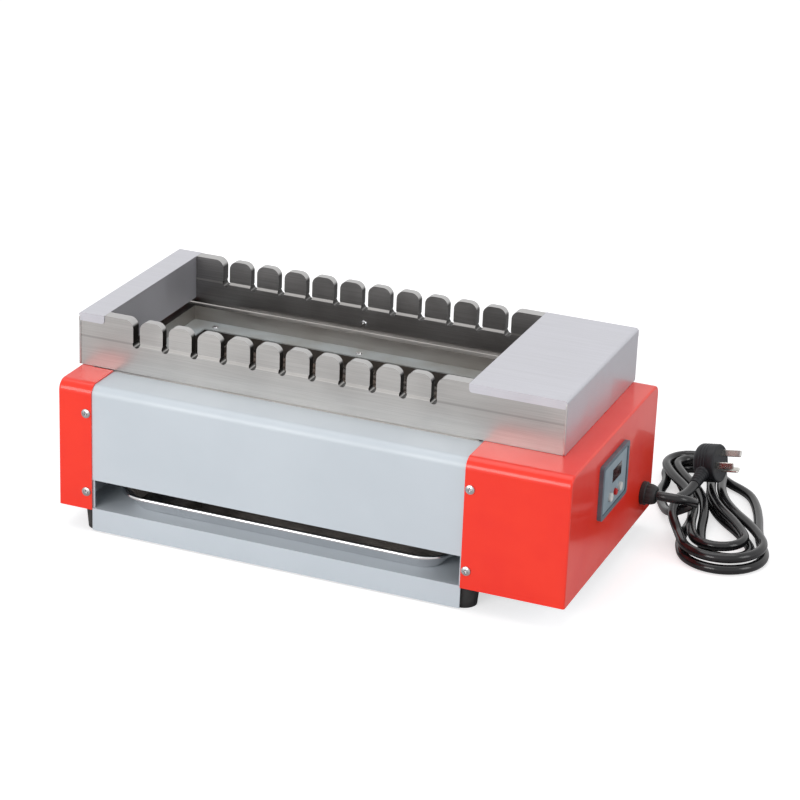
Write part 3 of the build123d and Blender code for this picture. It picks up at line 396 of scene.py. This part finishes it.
def toned_rail(name, bright, dull):
    """Brushed steel with painted shade at the feet and in the slots, and a painted highlight on the rims."""
    material = brushed_steel(name, bright, dull, (0.29, 0.42), 1300.0, 14.0, 0.2, 0.90)
    tree = material.node_tree
    target = tree.nodes["Principled BSDF"].inputs["Base Color"]
    # Paints shade into the steel's colour at the feet and in the slots, and a highlight on the rims.
    for shade, mask in ((ROOT_SHADE, foot_steps(tree)), (SLOT_SHADE, slot_cuts(tree)),
                        (RIM_PAINTED_HIGHLIGHT, painted_rim_highlights(tree))):
        mix = tree.nodes.new("ShaderNodeMix")
        mix.data_type = "RGBA"
        mix.inputs["B"].default_value = shade
        tree.links.new(mask, mix.inputs["Factor"])
        tree.links.new(target.links[0].from_socket, mix.inputs["A"])
        tree.links.new(mix.outputs["Result"], target)
    return material


finish_nodes(toned_rail("front_steel", STEEL_BRIGHT, STEEL_GREY), "front_comb_rail")
# The rear rail takes the darker steel colours, a painted shade.
finish_nodes(toned_rail("shaded_rear_steel", SHADED_REAR_STEEL, SHADED_REAR_STEEL_GREY), "rear_comb_rail")
# The decks take the lighter steel colours, painted light from above.
toplit_deck_steel = brushed_steel("toplit_deck_steel", TOPLIT_DECK_BRIGHT, TOPLIT_DECK_GREY, (0.30, 0.46), 1100.0, 17.0, 0.15, 0.66)
finish_nodes(toplit_deck_steel, "left_deck", "right_deck")



# ---- well liner and heating chamber ----------------------------------------------------------
# The liner is bright stainless. The chamber below it and the strip that carries the elements are
# the same sheet, browned in clouds by the heat.
LINER_STEEL = (0.55, 0.53, 0.51, 1.0)
LINER_DULL = (0.40, 0.375, 0.35, 1.0)
CHAMBER_STRAW = (0.30, 0.27, 0.245, 1.0)
CHAMBER_SMOKED = (0.10, 0.095, 0.093, 1.0)

liner_steel = brushed_steel("liner_steel", LINER_STEEL, LINER_DULL, (0.30, 0.45), 900.0, 18.0, 0.2)
finish_nodes(liner_steel, "well_liner")

chamber_steel, chamber_tree, chamber_shader = new_finish("chamber_steel", CHAMBER_STRAW, 0.45, 1.0)
chamber_grain = placed_group(chamber_tree, brushed_grain, Length_Scale=700.0, Smudge_Scale=26.0)
tone(chamber_tree, chamber_grain.outputs["Smudge"], CHAMBER_STRAW, CHAMBER_SMOKED,
     chamber_shader.inputs["Base Color"])
tone(chamber_tree, chamber_grain.outputs["Smudge"], 0.38, 0.62, chamber_shader.inputs["Roughness"])
relief(chamber_tree, chamber_grain.outputs["Grain"], chamber_shader, 0.2, 0.05 * MM)
finish_nodes(chamber_steel, "heat_chamber", "element_support")


# ---- heating elements ---------------------------------------------------------------------------
# Five hairpins of steel-sheathed element, dull and dark from heating, with pale ceramic ends and
# a probe beside them.
SHEATH_DARK = (0.060, 0.055, 0.052, 1.0)
SHEATH_RUSTY = (0.115, 0.085, 0.068, 1.0)
CERAMIC_WHITE = (0.78, 0.76, 0.71, 1.0)
CERAMIC_STAINED = (0.66, 0.61, 0.53, 1.0)

sheath = waved_finish("element_sheath", (SHEATH_DARK, SHEATH_RUSTY), (0.45, 0.7), 1200.0, 48.0, 0.3, 0.1, 0.6)
elements = sorted(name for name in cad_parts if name.startswith("heating_element_"))
finish_nodes(sheath, *elements, "temperature_probe")
ceramic = waved_finish("ceramic", (CERAMIC_WHITE, CERAMIC_STAINED), (0.4, 0.4), 600.0, 80.0, 0.2, 0.1)
finish_nodes(ceramic, "element_terminals")


# ---- drip tray ---------------------------------------------------------------------------------
# A shallow pressed tray in bright polished stainless, with a rolled rim and faint wiping marks.
TRAY_BRIGHT = (0.78, 0.78, 0.785, 1.0)
TRAY_DULL = (0.66, 0.66, 0.67, 1.0)

tray_steel = brushed_steel("tray_steel", TRAY_BRIGHT, TRAY_DULL, (0.10, 0.22), 500.0, 11.0, 0.06)
finish_nodes(tray_steel, "drip_tray")


# ---- rubber feet -------------------------------------------------------------------------------
# Four tapered feet in black moulded rubber, a little greyed and dusty.
RUBBER_BLACK = (0.022, 0.022, 0.023, 1.0)
RUBBER_DUSTY = (0.055, 0.054, 0.053, 1.0)

rubber = waved_finish("foot_rubber", (RUBBER_BLACK, RUBBER_DUSTY), (0.6, 0.8), 1500.0, 60.0, 0.3, 0.1,
                      Specular_IOR_Level=0.25)
finish_nodes(rubber, "rubber_feet")


# ---- cap, ledge and frame screws -------------------------------------------------------------
# Zinc-plated pan heads with a cross recess. The cap screws show, so each is turned here with its
# recess pressed in; the small ones stay as they are and take the same plating.
ZINC = (0.60, 0.61, 0.63, 1.0)
ZINC_STAINED = (0.38, 0.37, 0.36, 1.0)
BODY_FRONT_LEFT = (246.6, 123.0)
SCREW_COLUMNS = (28.2, 399.2)
SCREW_HEIGHTS = (39.5, 116.5)
CAP_DEPTH = 246.0
SCREW_HEAD_RADIUS = 4.3
SCREW_HEAD_HEIGHT = 2.2
SCREW_SHANK_RADIUS = 2.0
SCREW_SHANK_LENGTH = 5.4
RECESS_WIDTH = 0.62
RECESS_REACH = 2.5
RECESS_DEPTH = 1.3
DOME_RINGS = (0.97, 0.9, 0.8, 0.7, 0.6, 0.56, 0.5, 0.4, 0.3, 0.22, 0.15, 0.08, 0.03)


def in_frame(point):
    """A point measured from the caps' front left corner, in millimetres, put in the frame."""
    return Vector(((point[0] - BODY_FRONT_LEFT[0]) * MM, (point[1] - BODY_FRONT_LEFT[1]) * MM,
                   point[2] * MM))


def turned_rings(mesh, place, rings, sides):
    """Adds rings of radius and height round a place's third axis, closed at both ends."""
    loops = []
    for ring in rings:
        loop = []
        for k in range(sides):
            angle = 2 * math.pi * k / sides
            x, y = ring[0] * math.cos(angle), ring[0] * math.sin(angle)
            height = ring[1](x, y) if callable(ring[1]) else ring[1]
            loop.append(mesh.verts.new(place @ Vector((x * MM, y * MM, height * MM))))
        loops.append(loop)
    for lower, upper in zip(loops, loops[1:]):
        for k in range(sides):
            mesh.faces.new((lower[k], lower[(k + 1) % sides], upper[(k + 1) % sides], upper[k]))
    mesh.faces.new(tuple(reversed(loops[0])))
    mesh.faces.new(tuple(loops[-1]))


def facing(point, axis, level=(0, 0, 1)):
    """A place at a point whose third axis runs along the given one."""
    third = Vector(axis).normalized()
    first = Vector(level).cross(third).normalized()
    turn = Matrix((first, third.cross(first), third)).transposed().to_4x4()
    return Matrix.Translation(point) @ turn


def piece_from(mesh, name, material, stands_for=(), body="chassis", crease=35.0):
    bmesh.ops.recalc_face_normals(mesh, faces=mesh.faces)
    for face in mesh.faces:
        face.smooth = True
    for edge in mesh.edges:
        edge.smooth = edge.calc_face_angle(0) < math.radians(crease)
    data = bpy.data.meshes.new(name)
    mesh.to_mesh(data)
    mesh.free()
    piece = bpy.data.objects.new(name, data)
    bpy.context.scene.collection.objects.link(piece)
    data.materials.append(material)
    if stands_for:
        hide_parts(*stands_for)
    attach(piece, body)
    return piece


def recessed_dome(x, y):
    """Height of a screw head's dome with its cross recess."""
    radius = math.hypot(x, y) / SCREW_HEAD_RADIUS
    dome = SCREW_HEAD_HEIGHT * (1 - 0.45 * radius ** 2.4)
    inside = min(abs(x), abs(y)) < RECESS_WIDTH and max(abs(x), abs(y)) < RECESS_REACH
    depth = RECESS_DEPTH * (1 - 0.55 * max(abs(x), abs(y)) / RECESS_REACH)
    return dome - depth if inside else dome


zinc = waved_finish("zinc_plate", (ZINC, ZINC_STAINED), (0.22, 0.45), 900.0, 150.0, 0.12, 0.05, 1.0)
finish_nodes(zinc, "ledge_screws", "frame_screws")

heads = bmesh.new()
head_rings = [(SCREW_SHANK_RADIUS, -SCREW_SHANK_LENGTH), (SCREW_SHANK_RADIUS, 0.0),
              (SCREW_HEAD_RADIUS, 0.0), (SCREW_HEAD_RADIUS, 0.66)]
head_rings += [(SCREW_HEAD_RADIUS * share, recessed_dome) for share in DOME_RINGS]
for column in SCREW_COLUMNS:
    for height in SCREW_HEIGHTS:
        for y, way in ((0.0, -1), (CAP_DEPTH, 1)):
            turned_rings(heads, facing(in_frame((column, y, height)), (0, way, 0)), head_rings, 48)
piece_from(heads, "cap_screw_heads", zinc, ("cap_screws",))


# ---- corner welds of the skewer frame -----------------------------------------------------------
# The folded sheets of the skewer frame are welded down their four outer corners. Each bead is a
# low rippled ridge of bright metal, ground nearly flush.
WELD_BRIGHT = (0.72, 0.71, 0.70, 1.0)
WELD_GREY = (0.5, 0.48, 0.46, 1.0)
WELD_RIPPLE = 0.12
WELD_STEP = 1.1
BEAD_RADIUS = 0.9
BEAD_END_RADIUS = 0.54
BEAD_SPAN = (144.6, 192.0)
BEAD_CENTRES = ((-1.1, 43.6), (-1.1, 242.4), (466.8, 43.6), (466.8, 242.4))

weld_steel = brushed_steel("weld_steel", WELD_BRIGHT, WELD_GREY, (0.30, 0.4), 2000.0, 200.0, 0.1)
beads = bmesh.new()
bead_steps = round((BEAD_SPAN[1] - BEAD_SPAN[0]) / WELD_STEP)
bead_rings = [(BEAD_END_RADIUS, 0.0)]
bead_rings += [(BEAD_RADIUS - WELD_RIPPLE * (k % 2), (k + 0.5) * WELD_STEP) for k in range(bead_steps)]
bead_rings += [(BEAD_END_RADIUS, BEAD_SPAN[1] - BEAD_SPAN[0])]
for x, y in BEAD_CENTRES:
    turned_rings(beads, facing(in_frame((x, y, BEAD_SPAN[0])), (0, 0, 1), (0, 1, 0)), bead_rings, 16)
piece_from(beads, "corner_welds", weld_steel, (), "skewer_frame", 60.0)


# ---- control panel -----------------------------------------------------------------------------
# A blue-grey moulded bezel with a dark red display window and three buttons. A thin film with
# rounded corners lies on its face, with openings for the window and the buttons.
BEZEL_BLUE = (0.150, 0.190, 0.225, 1.0)
BEZEL_BLUE_DEEP = (0.110, 0.145, 0.175, 1.0)
FILM_BLUE = (0.290, 0.365, 0.415, 1.0)
FILM_BLUE_DEEP = (0.250, 0.320, 0.370, 1.0)
FILM_FACE = 492.8
FILM_THICKNESS = 0.2
FILM_MIDDLE = (114.0, 99.0)
FILM_HALF = (32.6, 21.6)
FILM_CORNER = 2.0
WINDOW_MIDDLE = (120.0, 105.0)
WINDOW_HALF = (12.6, 6.6)
WINDOW_CORNER = 0.8
BUTTON_PLACES = ((103.0, 87.5, 4.6), (116.5, 87.5, 3.6), (130.0, 87.5, 4.6))
WINDOW_DARK = (0.016, 0.004, 0.005, 1.0)
WINDOW_RED = (0.060, 0.006, 0.006, 1.0)
BUTTON_WHITE = (0.74, 0.74, 0.73, 1.0)
BUTTON_WHITE_WORN = (0.60, 0.60, 0.58, 1.0)
BUTTON_RED = (0.55, 0.020, 0.018, 1.0)
BUTTON_RED_WORN = (0.42, 0.014, 0.014, 1.0)


def moulded(name, colour, second, roughness, grain, marks, bump, **plain):
    """A moulded plastic finish with a fine grain and soft handling marks."""
    return waved_finish(name, (colour, second), (roughness, 1.35 * roughness), grain, marks, bump, 0.1,
                        Specular_IOR_Level=0.28, **plain)


bezel_plastic = moulded("bezel_plastic", BEZEL_BLUE, BEZEL_BLUE_DEEP, 0.42, 2200.0, 70.0, 0.25)
finish_nodes(bezel_plastic, "control_bezel")
window_plastic = moulded("window_plastic", WINDOW_DARK, WINDOW_RED, 0.10, 800.0, 120.0, 0.02,
                         Coat_Weight=0.6, Coat_Roughness=0.04)
finish_nodes(window_plastic, "display_window")
white_plastic = moulded("white_button", BUTTON_WHITE, BUTTON_WHITE_WORN, 0.35, 1800.0, 160.0, 0.1)
red_plastic = moulded("red_button", BUTTON_RED, BUTTON_RED_WORN, 0.32, 1800.0, 160.0, 0.1)
for name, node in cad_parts.items():
    if name.endswith("_button"):
        is_red = node.material_slots[0].material.name.startswith("red_button")
        finish_nodes(red_plastic if is_red else white_plastic, name)



def rounded_loop(middle, half, corner, steps=6):
    """Points round a rectangle with rounded corners."""
    points = []
    for quarter, (sx, sy) in enumerate(((1, 1), (-1, 1), (-1, -1), (1, -1))):
        for k in range(steps + 1):
            angle = (quarter + k / steps) * math.pi / 2
            points.append((middle[0] + sx * (half[0] - corner) + corner * math.cos(angle),
                           middle[1] + sy * (half[1] - corner) + corner * math.sin(angle)))
    return points


def ring_loop(middle, radius, count=32):
    """Points round a circle."""
    return [(middle[0] + radius * math.cos(2 * math.pi * k / count),
             middle[1] + radius * math.sin(2 * math.pi * k / count)) for k in range(count)]


film_plastic = moulded("printed_film", FILM_BLUE, FILM_BLUE_DEEP, 0.34, 1800.0, 60.0, 0.06)
film = bmesh.new()
film_loops = [rounded_loop(FILM_MIDDLE, FILM_HALF, FILM_CORNER),
              rounded_loop(WINDOW_MIDDLE, WINDOW_HALF, WINDOW_CORNER, 2)]
film_loops += [ring_loop((y, z), radius) for y, z, radius in BUTTON_PLACES]
film_edges = []
for loop in film_loops:
    verts = [film.verts.new(in_frame((FILM_FACE, y, z))) for y, z in loop]
    film_edges += [film.edges.new((a, b)) for a, b in zip(verts, verts[1:] + verts[:1])]
bmesh.ops.triangle_fill(film, use_beauty=True, edges=film_edges)
raised = bmesh.ops.extrude_face_region(film, geom=film.faces[:])
bmesh.ops.translate(film, vec=(FILM_THICKNESS * MM, 0, 0),
                    verts=[item for item in raised["geom"] if isinstance(item, bmesh.types.BMVert)])
piece_from(film, "printed_film", film_plastic)


# ---- parts inside the right cap ---------------------------------------------------------------
# Relay, terminal block and controller case in dull black plastic, the cut-out's bright can and a
# green circuit board. They are out of sight in the closed cap.
CASE_BLACK = (0.024, 0.024, 0.026, 1.0)
CASE_GREYED = (0.050, 0.050, 0.052, 1.0)
BOARD_GREEN = (0.020, 0.110, 0.045, 1.0)
BOARD_GREEN_PALE = (0.045, 0.170, 0.080, 1.0)

case_plastic = moulded("case_plastic", CASE_BLACK, CASE_GREYED, 0.5, 1500.0, 40.0, 0.2)
board_green = moulded("board_green", BOARD_GREEN, BOARD_GREEN_PALE, 0.38, 2500.0, 220.0, 0.2)
finish_nodes(case_plastic, "power_relay", "terminal_block", "controller_housing", "gland_nut")
finish_nodes(zinc, "thermal_cutout")
finish_nodes(board_green, "display_board")


# ---- mains cord ---------------------------------------------------------------------------
# A round three-core lead in a glossy black jacket. It leaves the gland, drops to the table beside
# the hank and joins its long loops, which are drawn together at a waist and lie in two layers. It
# leaves on top and rises to the plug's boot. Its ends are pressed into the gland and the boot.
CORD_DIAMETER = 9.0
CORD_SIDES = 6
GLAND_MOUTH = (504.0, 216.0, 46.0)
HANK_CENTRE = (537.0, 290.0)
HANK_ANGLE = math.radians(116.7)
HANK_TURNS = ((90.0, -26.5, 26.5, 0), (-84.5, 34.0, -43.0, 0),
              (90.0, -16.0, 16.0, 0), (-76.0, 23.0, -21.0, 0),
              (90.0, -16.0, 16.0, 1), (-70.0, 18.0, -30.0, 1),
              (90.0, -26.5, 26.5, 1), (-82.0, 32.5, -42.0, 1))
HANK_PASSES = ((30.0, 48.0, 0), (15.0, -15.0, 0), (15.0, 5.0, 0), (15.0, -5.0, 1),
               (15.0, 5.0, 1), (15.0, -15.0, 1), (15.0, 15.0, 1))
HANK_FIRST = (35.0, -42.0, 0)
LOW_LAYER = 4.6
LAYER_STEP = 9.6
POINTS_PER_HALF_TURN = 6
POINTS_PER_RUN = 4
LEAD_STRAIGHT = 16.2
LEAD_POINTS = ((-55.1, -32.3, 42.2), (-42.7, -23.5, 34.3), (-28.6, -27.1, 24.4),
               (-17.1, -38.5, 13.4), (0.8, -41.6, 6.9))
LEAD_LANDING = 10.3
TAIL_START = 14.1
TAIL_POINTS = ((-37.9, -44.8, 21.4), (-19.5, -37.4, 28.4))
TAIL_END = 13.1
PLUG_FACE = (533.9, 325.6, 41.6)
PLUG_AXIS = (0.97, -0.14, 0.195)
PLUG_RADIUS = 18.5
BOOT_FROM_FACE = 11.5
BOOT_SLOPE = math.radians(14.0)
BOOT_LENGTH = 19.0
CORD_BLACK = (0.006, 0.006, 0.007, 1.0)
CORD_BLACK_DUSTY = (0.013, 0.013, 0.015, 1.0)


def on_hank(t, v, z):
    """Point of the hank: t along its long axis, v across it to the right, z above the table."""
    x = HANK_CENTRE[0] + t * math.cos(HANK_ANGLE) + v * math.sin(HANK_ANGLE)
    y = HANK_CENTRE[1] + t * math.sin(HANK_ANGLE) - v * math.cos(HANK_ANGLE)
    return (x, y, z)


def layer_height(layer):
    """Height of the cord's centre in a layer."""
    return LOW_LAYER + layer * LAYER_STEP


def hank_stations():
    """Ends of the half turns and points of the runs: place, offset and height, in order."""
    stations = [(*HANK_FIRST[:2], layer_height(HANK_FIRST[2]))]
    for i, (t, before, after, layer) in enumerate(HANK_TURNS):
        z = layer_height(layer)
        stations += [(t, before, z), (t, after, z)]
        if i < len(HANK_PASSES):
            t_pass, v_pass, pass_layer = HANK_PASSES[i]
            stations.append((t_pass, v_pass, layer_height(pass_layer)))
    return stations


def half_turn_points(start, end):
    """Corners round a half turn, so that the curve between their middles is the arc."""
    (t, v0, z), v1 = start, end[1]
    reach = abs(v1 - v0) / 2 / math.cos(math.pi / POINTS_PER_HALF_TURN / 2)
    side = math.copysign(1, v1 - v0)
    points = []
    for k in range(POINTS_PER_HALF_TURN):
        angle = math.pi * (k + 0.5) / POINTS_PER_HALF_TURN
        points.append(on_hank(t + math.copysign(reach, t) * math.sin(angle),
                              (v0 + v1) / 2 - side * reach * math.cos(angle), z))
    return points


def run_points(start, end):
    """Points of a run that leaves and arrives along the hank's long axis."""
    points = []
    for k in range(POINTS_PER_RUN):
        along = (k + 0.5) / POINTS_PER_RUN
        share = 2 * along ** 2 if along < 0.5 else 1 - 2 * (1 - along) ** 2
        points.append(on_hank(start[0] + (end[0] - start[0]) * along,
                              start[1] + (end[1] - start[1]) * share,
                              start[2] + (end[2] - start[2]) * share))
    return points


def boot_ends():
    """Root and tip of the plug's side boot."""
    axis = Vector(PLUG_AXIS).normalized()
    level = Vector((-axis.y, axis.x, 0)).normalized()
    away = -level * math.cos(BOOT_SLOPE) - axis.cross(level) * math.sin(BOOT_SLOPE)
    root = Vector(PLUG_FACE) - axis * BOOT_FROM_FACE
    return root, root + away * (PLUG_RADIUS + BOOT_LENGTH)


stations = hank_stations()
first_t, first_v, first_z = stations[0]
landing = first_t - CORD_DIAMETER
route = [GLAND_MOUTH, (GLAND_MOUTH[0] + LEAD_STRAIGHT, *GLAND_MOUTH[1:])]
route += [on_hank(*point) for point in LEAD_POINTS]
route += [on_hank(landing - LEAD_LANDING, first_v, first_z), on_hank(landing, first_v, first_z)]
for start, end in zip(stations, stations[1:]):
    route += half_turn_points(start, end) if start[0] == end[0] else run_points(start, end)
last_t, last_v, last_z = stations[-1]
leaving = last_t + CORD_DIAMETER
boot_root, boot_tip = boot_ends()
route += [on_hank(leaving, last_v, last_z), on_hank(leaving + TAIL_START, last_v, last_z)]
route += [on_hank(*point) for point in TAIL_POINTS]
route += [boot_tip + (boot_tip - boot_root).normalized() * TAIL_END, boot_tip]

cord_jacket = moulded("cord_jacket", CORD_BLACK, CORD_BLACK_DUSTY, 0.17, 900.0, 45.0, 0.03,
                      Coat_Weight=0.35, Coat_Roughness=0.12)
cord_curve = bpy.data.curves.new("mains_cord", "CURVE")
cord_curve.dimensions = "3D"
cord_curve.resolution_u = 8
cord_curve.bevel_depth = CORD_DIAMETER / 2 * MM
cord_curve.bevel_resolution = CORD_SIDES
cord_curve.use_fill_caps = True
cord_curve.materials.append(cord_jacket)
line = cord_curve.splines.new("NURBS")
line.points.add(len(route) - 1)
for control, place in zip(line.points, route):
    control.co = (*in_frame(place), 1)
line.order_u = 3
line.use_endpoint_u = True
cord = bpy.data.objects.new("mains_cord", cord_curve)
bpy.context.scene.collection.objects.link(cord)

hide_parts("cord_lead", "cord_hank", "cord_tail")
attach(cord, "chassis")


# ---- cable gland -------------------------------------------------------------------------------
# A black nylon gland: a flange against the cap, a domed nut with grip flutes and a mouth that
# tapers to the cord, turned with its thread running through the cap.
GLAND_PLACE = (490.0, 216.0, 46.0)
GLAND_FLANGE_RADIUS = 11.0
GLAND_FLANGE = 5.0
GLAND_PROUD = 14.0
GLAND_MOUTH_RADIUS = 8.0
GLAND_THREAD_RADIUS = 8.0
GLAND_INNER = 10.2
GLAND_FLUTES = 12
FLUTE_END = 10.5
FLUTE_DEPTH = 0.7
FLUTED_FROM = 9.5
NYLON_BLACK = (0.018, 0.018, 0.019, 1.0)
NYLON_GREYED = (0.036, 0.036, 0.038, 1.0)

gland_nylon = moulded("gland_nylon", NYLON_BLACK, NYLON_GREYED, 0.42, 1600.0, 90.0, 0.2)
gland = bmesh.new()
gland_place = facing(in_frame(GLAND_PLACE), (1, 0, 0))
gland_rings = [(GLAND_THREAD_RADIUS, -GLAND_INNER), (GLAND_THREAD_RADIUS, 0.0),
               (GLAND_FLANGE_RADIUS - 0.5, 0.0), (GLAND_FLANGE_RADIUS, 0.5),
               (GLAND_FLANGE_RADIUS, GLAND_FLANGE - 0.6), (GLAND_FLANGE_RADIUS - 0.6, GLAND_FLANGE),
               (GLAND_FLANGE_RADIUS - 1.2, GLAND_FLANGE + 0.3), (GLAND_FLANGE_RADIUS - 1.3, 8.6),
               (GLAND_FLANGE_RADIUS - 1.6, 10.2), (8.8, 11.8), (GLAND_MOUTH_RADIUS, 13.6),
               (GLAND_MOUTH_RADIUS - 0.6, GLAND_PROUD), (CORD_DIAMETER / 2 + 0.6, GLAND_PROUD),
               (CORD_DIAMETER / 2 + 0.2, GLAND_PROUD - 0.8)]
turned_rings(gland, gland_place, gland_rings, 8 * GLAND_FLUTES)
for vert in gland.verts:
    local = gland_place.inverted() @ vert.co
    ring, height = math.hypot(local.x, local.y), local.z / MM
    if GLAND_FLANGE < height < FLUTE_END and ring > FLUTED_FROM * MM:
        angle = math.atan2(local.y, local.x)
        groove = max(0.0, math.cos(GLAND_FLUTES * angle) - 0.2) * FLUTE_DEPTH * MM
        local.x -= groove * math.cos(angle)
        local.y -= groove * math.sin(angle)
        vert.co = gland_place @ local
gland_piece = piece_from(gland, "fluted_gland", gland_nylon, ("cable_gland",))


# ---- plug --------------------------------------------------------------------------------------
# A round moulded plug in satin black, with a rounded back, finger grooves round its side, a rim
# round the face and a ribbed boot at its side. Its three flat blades are nickel plated.
PLUG_LENGTH = 22.0
PLUG_EDGE = 1.6
PLUG_BACK_EDGE = 5.5
PLUG_GROOVES = (8.4, 11.4, 14.4)
GROOVE_DEPTH = 0.5
BOOT_ROOT_RADIUS = 7.0
BOOT_TIP_RADIUS = 5.4
BOOT_RIBS = 5
PIN_WIDTH = 6.35
PIN_THICKNESS = 1.6
PIN_LENGTH = 17.0
EARTH_PIN_LENGTH = 20.0
PIN_PATTERN_TURN = math.radians(55.0)
PIN_PLACES = ((10.3, 0.0, 0.0), (-3.96, 6.86, 30.0), (-3.96, -6.86, -30.0))
PLUG_BLACK = (0.012, 0.013, 0.016, 1.0)
PLUG_GREYED = (0.024, 0.026, 0.031, 1.0)
NICKEL = (0.70, 0.69, 0.66, 1.0)
NICKEL_RUBBED = (0.52, 0.50, 0.46, 1.0)

plug_plastic = moulded("plug_plastic", PLUG_BLACK, PLUG_GREYED, 0.40, 1400.0, 55.0, 0.18)
plug = bmesh.new()
plug_place = facing(in_frame(PLUG_FACE), PLUG_AXIS, (0, 0, 1))
face_ring = PLUG_RADIUS - PLUG_EDGE
plug_rings = [(PLUG_RADIUS - PLUG_BACK_EDGE * (1 - math.sin(k * math.pi / 12)),
               -PLUG_LENGTH + PLUG_BACK_EDGE * (1 - math.cos(k * math.pi / 12))) for k in range(7)]
plug_rings = [(0.5, -PLUG_LENGTH), (6.0, -PLUG_LENGTH)] + plug_rings
for groove in sorted(-depth for depth in PLUG_GROOVES):
    plug_rings += [(PLUG_RADIUS, groove - 0.9), (PLUG_RADIUS - GROOVE_DEPTH, groove - 0.4),
                   (PLUG_RADIUS - GROOVE_DEPTH, groove + 0.4), (PLUG_RADIUS, groove + 0.9)]
plug_rings += [(PLUG_RADIUS, -PLUG_EDGE), (PLUG_RADIUS - 0.5, -0.5), (face_ring, 0.0),
               (face_ring - 0.8, 0.0), (face_ring - 1.1, -0.35), (5.0, -0.35), (0.5, -0.35)]
turned_rings(plug, plug_place, plug_rings, 96)
boot_way = (boot_tip - boot_root).normalized()
boot_span = BOOT_LENGTH + 0.4 * PLUG_RADIUS
boot_place = facing(in_frame(boot_root + boot_way * 0.6 * PLUG_RADIUS), boot_way)
boot_rings = [(BOOT_ROOT_RADIUS, 0.0), (BOOT_ROOT_RADIUS, 0.4 * PLUG_RADIUS)]
rib_pitch = (boot_span - 0.4 * PLUG_RADIUS - 2.0) / BOOT_RIBS
for rib in range(BOOT_RIBS):
    low = 0.4 * PLUG_RADIUS + 1.0 + rib * rib_pitch
    radius = BOOT_ROOT_RADIUS + (BOOT_TIP_RADIUS - BOOT_ROOT_RADIUS) * low / boot_span
    boot_rings += [(radius - 0.1, low), (radius - 0.9, low + 0.25 * rib_pitch),
                   (radius - 0.9, low + 0.55 * rib_pitch), (radius - 0.15, low + 0.8 * rib_pitch)]
boot_rings += [(BOOT_TIP_RADIUS - 0.1, boot_span - 0.6), (BOOT_TIP_RADIUS - 0.5, boot_span)]
turned_rings(plug, boot_place, boot_rings, 48)
plug_piece = piece_from(plug, "moulded_plug", plug_plastic, ("plug_body",))

nickel, nickel_tree, nickel_shader = new_finish("nickel_plate", NICKEL, 0.2, 1.0)
nickel_grain = placed_group(nickel_tree, brushed_grain, Length_Scale=1500.0, Smudge_Scale=160.0)
tone(nickel_tree, nickel_grain.outputs["Smudge"], NICKEL, NICKEL_RUBBED, nickel_shader.inputs["Base Color"])
tone(nickel_tree, nickel_grain.outputs["Smudge"], 0.16, 0.34, nickel_shader.inputs["Roughness"])
relief(nickel_tree, nickel_grain.outputs["Grain"], nickel_shader, 0.12, 0.05 * MM)


def blade(mesh, middle, turn, length):
    """One flat blade with rounded edges and a tapered tip, standing on the plug's face."""
    outline = []
    half, thick, bevel = PIN_WIDTH / 2, PIN_THICKNESS / 2, 0.35
    for x_side, y_side in ((1, 1), (-1, 1), (-1, -1), (1, -1)):
        corner = [(half - bevel, thick), (half, thick - bevel)]
        if x_side * y_side > 0:
            corner.reverse()
        outline += [(x_side * x, y_side * y) for x, y in corner]
    level = plug_place.to_3x3() @ Vector((0, 0, 1))
    first = Vector((-level.y, level.x, 0)).normalized()
    second = level.cross(first)
    angle = PIN_PATTERN_TURN
    centre = (middle[0] * math.cos(angle) - middle[1] * math.sin(angle),
              middle[0] * math.sin(angle) + middle[1] * math.cos(angle))
    spin = angle + math.radians(turn)
    loops = []
    for height, shrink in ((-0.3, 1.0), (length - 1.8, 1.0), (length - 0.6, 0.9), (length, 0.68)):
        loop = []
        for x, y in outline:
            x, y = x * (1 - (1 - shrink) * 0.5), y * shrink
            across = centre[0] + x * math.cos(spin) - y * math.sin(spin)
            up = centre[1] + x * math.sin(spin) + y * math.cos(spin)
            point = in_frame(PLUG_FACE) + (first * across + second * up + level * height) * MM
            loop.append(mesh.verts.new(point))
        loops.append(loop)
    count = len(outline)
    for lower, upper in zip(loops, loops[1:]):
        for k in range(count):
            mesh.faces.new((lower[k], lower[(k + 1) % count], upper[(k + 1) % count], upper[k]))
    mesh.faces.new(tuple(reversed(loops[0])))
    mesh.faces.new(tuple(loops[-1]))


pins = bmesh.new()
for across, up, turn in PIN_PLACES:
    blade(pins, (across, up), turn, EARTH_PIN_LENGTH if turn == 0 else PIN_LENGTH)
pins_piece = piece_from(pins, "plug_blades", nickel, ("plug_pins",), crease=25.0)
